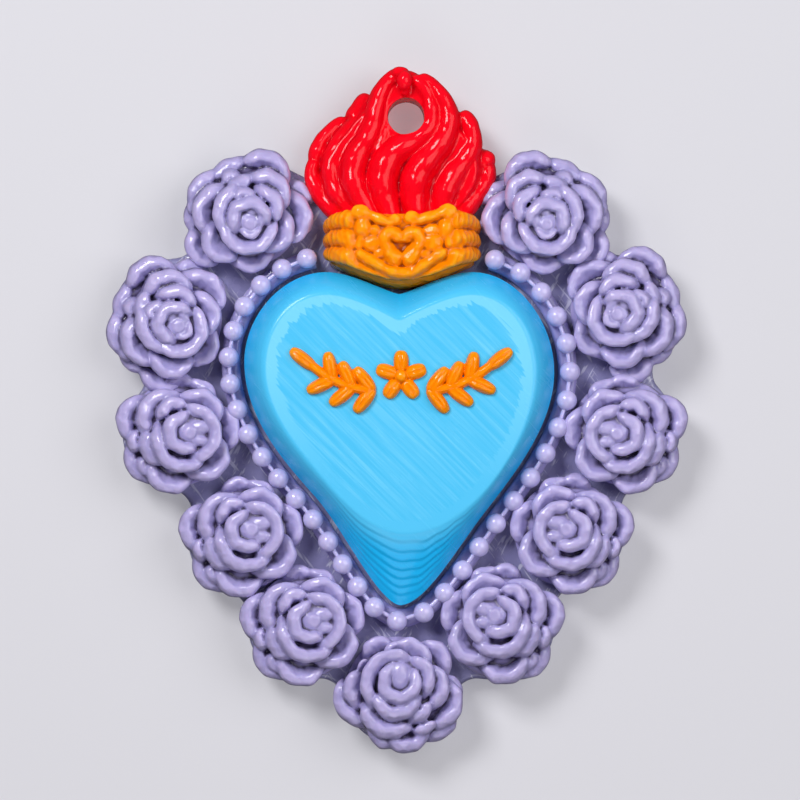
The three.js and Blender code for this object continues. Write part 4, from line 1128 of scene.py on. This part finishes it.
def makeSprig(side):
    # bowed stem (start + length t, bow (t^2 - 1/2)) with pairs of leaves and one at the end
    def bow(t):
        return ornament["at"] + np.array([side * (ornament["start"] + ornament["length"] * t),
                                          ornament["bow"] * (t * t - 0.5)])

    def leaf(t, opening):
        # a leaf that leaves the stem at an angle
        angle = np.arctan2(2 * ornament["bow"] * t, side * ornament["length"]) + side * opening
        at = bow(t) + away(angle, ornament["leaf"][0] * ornament["leafAway"])
        return leafShell(at, angle, *ornament["leaf"], ornament["rise"])
    stem = [bow(t) for t in np.linspace(0, 1, ornament["stemPoints"])]
    shells = [strandShell(stem, (ornament["stem"],) * 3, heartTop - ornament["sink"],
                          heartTop + ornament["rise"] * ornament["stemRise"], droop=0.0)]
    for i in range(ornament["pairs"]):
        t = ornament["endAt"] * i / ornament["pairs"]
        shells += [leaf(t, ornament["opening"]), leaf(t, -ornament["opening"])]
    shells.append(leaf(ornament["endAt"], 0))
    return fuse(shells, ornament["voxel"], ornament["rounds"])


def makeBlossom():
    # petals in even turns round a low dome
    eye = (ornament["eye"], ornament["eye"], ornament["rise"])
    shells = [ball((*ornament["at"], heartTop), eye)]
    for i in range(ornament["petals"]):
        angle = np.pi / 2 + i * 2 * np.pi / ornament["petals"]
        at = ornament["at"] + away(angle, ornament["petalAt"])
        shells.append(leafShell(at, angle, *ornament["petal"],
                                ornament["rise"] * ornament["petalRise"]))
    return fuse(shells, ornament["voxel"], ornament["rounds"])


for name, shape, node in (("sprigLeft", makeSprig(-1), "ornament_sprig_left"),
                          ("sprigRight", makeSprig(1), "ornament_sprig_right"),
                          ("blossom", makeBlossom(), "ornament_blossom")):
    addPiece(name, shape, amber, "crown_amber", [node], hollow=hollows(shape, ornament["easing"]))
print("ornament made")

# roses

rose = {
    "voxel": 0.09, "rounds": 2, "top": 4.5, "leanPower": 1.3, "overrun": 1.25, "sink": 0.3,
    "sinkPower": 6, "across": 97, "rollFrom": 3.5, "rollAt": 4.1, "thin": 0.1, "fullReach": 1.5,
    "leastOut": 0.12, "foot": -0.05, "corner": 1.9, "dipRatio": 1.37, "flat": 0.05, "waver": 0.02,
    "waves": (2.6, 4.7), "secondWave": 0.6, "fillerTop": 4.5, "fillerSlope": 0.8,
    "fillerRadii": (4.4, 4.3, 3.4, 2.4, 1.4, 0.4), "fillerAround": 48, "budAround": 32,
    "budRows": 16, "uneven": ((0.05, 2.3), (0.02, 1.05)), "easing": 90, "drawingScale": 0.0818,
}
# three roses as the camera sees them, in steps of drawingScale mm from the middle of their
# outline: lip's height in mm, direction faced, half of the turn, outer reach and arc centre
roseDrawings = {
    "sideRose": {
        "lean": (1.06, 0.49),
        "petals": [
            (4.5, 200, 105, 22, (8, 5)), (4.35, 15, 80, 30.5, (15, 5)), (4.1, 240, 75, 32, (8, -4)),
            (4.0, 120, 80, 17, (-5, 22)), (3.45, 62, 75, 25.5, (19, 25)),
            (3.5, 147, 76, 28.5, (-13, 17)), (3.45, 212, 68, 22, (-13, -11)),
            (3.3, -40, 88, 26, (31, -16)), (2.6, 255, 80, 27, (0, -33)),
            (2.6, 18, 65, 26, (38, 10)), (2.5, 60, 60, 20, (16, 39)), (2.2, 95, 75, 16.5, (-3, 46)),
            (2.5, 172, 72, 25.5, (-36, 10)), (2.8, 190, 75, 12.5, (-35, -11)),
            (2.2, 215, 65, 14, (-22, -33)), (1.7, 222, 65, 28, (-21, -26)),
        ],
        "bud": [  # middle, half sizes, height of the top and rise
            (14, 6, 20, 19, 4.02, 1.0), (8, 7, 8, 8, 4.08, 0.35), (21, 12, 10, 7, 4.16, 0.4),
            (22, -1, 10, 6, 4.08, 0.35),
        ]},
    "topRose": {
        "lean": (0.34, -1.04),
        "petals": [
            (4.5, 105, 112, 22.5, (3, -8)), (4.3, -85, 85, 12.5, (4, -16)),
            (4.2, -97, 90, 30, (2, -15)), (4.1, 165, 55, 31, (-3, -3)),
            (4.15, 100, 75, 12.5, (-2, 11)), (4.1, 28, 72, 21, (17, 3)),
            (3.5, 125, 55, 21, (-1, 15)), (3.6, 48, 78, 26, (19, 15)),
            (3.4, -35, 80, 24, (25, -19)), (3.3, 150, 70, 29.5, (-25, -2)),
            (3.3, 215, 80, 23.5, (-22, -30)), (2.5, -80, 70, 24.5, (4, -38)),
            (2.6, 0, 78, 28.5, (38, -7)), (2.6, 60, 75, 27.5, (17, 34)),
            (2.9, 120, 70, 11.5, (-14, 29)), (1.9, 120, 38, 33, (-7, 22)),
            (2.3, 140, 48, 28, (-32, 13)), (2.4, 150, 60, 15.5, (-44, 4)),
            (1.5, 190, 45, 20, (-44, -5)), (2.0, 212, 70, 24.5, (-38, -33)),
            (1.5, 50, 45, 24, (43, 9)), (1.1, -10, 50, 16, (51, -10)),
        ],
        "bud": [
            (3, -9, 18, 17, 4.0, 1.0), (1, -9, 8, 8, 4.08, 0.35), (14, -6, 5, 11, 4.18, 0.4),
            (6, 0, 8, 5, 4.08, 0.35),
        ]},
    "bottomRose": {
        "lean": (0.2, 1.27),
        "petals": [
            (4.5, 250, 140, 22.5, (1.5, 11.5)), (4.15, 268, 82, 26, (-1.5, -0.5)),
            (4.2, 140, 75, 33.5, (-4.5, 11.5)), (4.0, 25, 72, 22, (15.5, 16.5)),
            (3.4, 55, 70, 25, (9.5, 31.5)), (3.3, 130, 60, 13, (-2.5, 39.5)),
            (2.6, 105, 75, 18.5, (-18.5, 39.5)), (3.4, 5, 75, 23.5, (28.5, 7.5)),
            (3.6, -50, 62, 17, (17.5, -11.5)), (2.6, 40, 70, 22, (32.5, 32.5)),
            (3.0, 175, 72, 20, (-35.5, 5.5)), (3.3, 245, 68, 30, (-8.5, -14.5)),
            (3.0, 130, 80, 8, (-33.5, 26.5)), (2.3, 210, 62, 30, (-35.5, -3.5)),
            (2.4, 275, 70, 25, (7.5, -34.5)), (2.1, 225, 60, 20, (-11.5, -35.5)),
            (2.6, -15, 78, 27, (38.5, -8.5)), (2.9, -65, 60, 15, (23.5, -26.5)),
            (1.8, -55, 40, 27, (33.5, -21.5)), (1.9, 40, 45, 18, (47.5, 1.5)),
        ],
        "bud": [(1.5, 17, 19, 18, 4.02, 1.0), (1.5, 19, 11, 13, 4.25, 0.6)]},
}
# drawing, mirrored or not, middle of the rose in mm from the hole, place of the bud from there as
# the camera sees it, and turn in degrees
roseSeats = [
    ("topRose", True, (11.45, -7.9), (0.05, -0.9), 0),
    ("topRose", True, (17.91, -15.84), (-0.74, -0.25), 45),
    ("sideRose", True, (17.91, -25.73), (-0.74, -0.16), -8),
    ("sideRose", True, (13.25, -34.08), (-0.2, 0.46), 0),
    ("sideRose", True, (7.65, -41.6), (-0.45, 1.02), 0),
    ("bottomRose", False, (-0.61, -46.96), (0.2, 1.27), 0),
    ("sideRose", False, (-8.43, -41.6), (1.06, 0.49), 0),
    ("sideRose", False, (-13.37, -34.45), (0.86, 0.86), 0),
    ("sideRose", False, (-18.73, -25.78), (1.23, 0.04), -8),
    ("topRose", False, (-19.55, -16.5), (1.11, -0.61), 45),
    ("topRose", False, (-13.01, -7.74), (0.34, -1.04), 0),
]
# sections of a petal in mm from its outer edge and its crest: crest, outer side, foot, inner
# side; the roll is that of the petals round the bud, the leaf that of the open ones further out
petalRoll = np.array([
    (-0.55, 0.0), (-0.32, -0.04), (-0.13, -0.16), (-0.02, -0.38), (0.0, -0.65), (-0.08, -1.05),
    (-0.25, -1.7), (-0.4, -2.6), (-0.5, -6.0), (-1.9, -6.0), (-1.6, -2.6), (-1.4, -1.5),
    (-1.28, -1.05), (-1.18, -0.7), (-1.1, -0.42), (-0.98, -0.19), (-0.78, -0.04),
])
petalLeaf = np.array([
    (-0.6, 0.0), (-0.38, -0.05), (-0.17, -0.17), (-0.03, -0.4), (0.0, -0.65), (-0.04, -1.0),
    (-0.16, -1.6), (-0.36, -2.5), (-0.5, -6.0), (-2.6, -6.0), (-2.4, -2.1), (-2.1, -1.55),
    (-1.8, -1.15), (-1.52, -0.8), (-1.25, -0.48), (-1.02, -0.24), (-0.8, -0.06),
])


def leanAt(lean, height):
    # how far a rose has leaned over at a height: lean * (height / top)^power
    return np.array(lean) * (np.clip(height, 0, None) / rose["top"]) ** rose["leanPower"]


def petalShell(petal, lean):
    # centre + (reach + across) (cos, sin) of facing + half u, at height top + down; past u = +-1
    # the lip sinks behind its neighbours, and flats between soft corners, -|sin|, break up its edge
    top, facing, half, reach, at = petal
    u = np.linspace(-rose["overrun"], rose["overrun"], rose["across"])[:, None]
    blade = petalLeaf + (petalRoll - petalLeaf) * smoothStep(top, rose["rollFrom"], rose["rollAt"])
    reach = reach * rose["drawingScale"]
    centre = np.array(at) * rose["drawingScale"] - leanAt(lean, top)
    run = reach * np.radians(half) * u
    slow, quick = rose["waves"]
    wave = np.sin(slow * run + facing) + rose["secondWave"] * np.sin(quick * run + 2 * facing)
    cornered = np.abs(np.sin(np.pi * run / rose["corner"] + facing))
    dip = np.abs(np.sin(np.pi * run / (rose["corner"] * rose["dipRatio"]) + 2 * facing))
    thick = min(1.0, reach / rose["fullReach"]) * (1 - rose["thin"] * u * u)
    out = reach - rose["flat"] * cornered + wave * rose["waver"] + blade[None, :, 0] * thick
    out = np.maximum(out, rose["leastOut"])
    height = top - rose["sink"] * u ** rose["sinkPower"] - rose["flat"] * dip + blade[None, :, 1]
    angle = np.radians(facing + half * u)
    return closedGrid(np.stack([centre[0] + out * np.cos(angle), centre[1] + out * np.sin(angle),
                                np.maximum(height, rose["foot"])], axis=-1))


def makeRose(drawing):
    # petals round a cone that closes the hollows between them, and low mounds for the bud
    shells = [petalShell(petal, drawing["lean"]) for petal in drawing["petals"]]
    ring, radii = circle(rose["fillerAround"]), rose["fillerRadii"]
    heights = [rose["foot"], *(rose["fillerTop"] - rose["fillerSlope"] * r for r in radii[1:])]
    shells.append(closedGrid(np.array([level(ring * r, z) for r, z in zip(radii, heights)])))
    for right, up, halfWidth, halfHeight, top, rise in drawing["bud"]:
        at = np.array([right, up]) * rose["drawingScale"] - leanAt(drawing["lean"], top)
        size = (halfWidth * rose["drawingScale"], halfHeight * rose["drawingScale"], rise)
        shells.append(ball((*at, top - rise), size, rose["budAround"], rose["budRows"]))
    return uneven(fuse(shells, rose["voxel"], rose["rounds"]), *rose["uneven"])


def placeRose(template, mirror, at, lean, turn):
    # turn, mirror, lean in step with the height, and set down on the plate
    points, quads, triangles = template
    c, s = np.cos(np.radians(turn)), np.sin(np.radians(turn))
    flat = points[:, :2] @ np.array([[c, s], [-s, c]])
    if mirror:
        flat = flat * [-1, 1]
        quads, triangles = quads[:, ::-1], triangles[:, ::-1]
    lean = asSeen(np.array(at) + lean, plateTop + rose["top"]) - at
    flat = flat + leanAt(lean, points[:, 2:]) + at
    return np.column_stack([flat, points[:, 2] + plateTop]), quads, triangles


templates = {name: makeRose(drawing) for name, drawing in roseDrawings.items()}
creases = {name: hollows(template, rose["easing"]) for name, template in templates.items()}
for i, (drawing, *seat) in enumerate(roseSeats):
    addPiece(f"roseBloom{i + 1:02d}", placeRose(templates[drawing], *seat), lavender,
             "rose_lavender", [f"rose_{i + 1:02d}"], hollow=creases[drawing])
print("roses made")
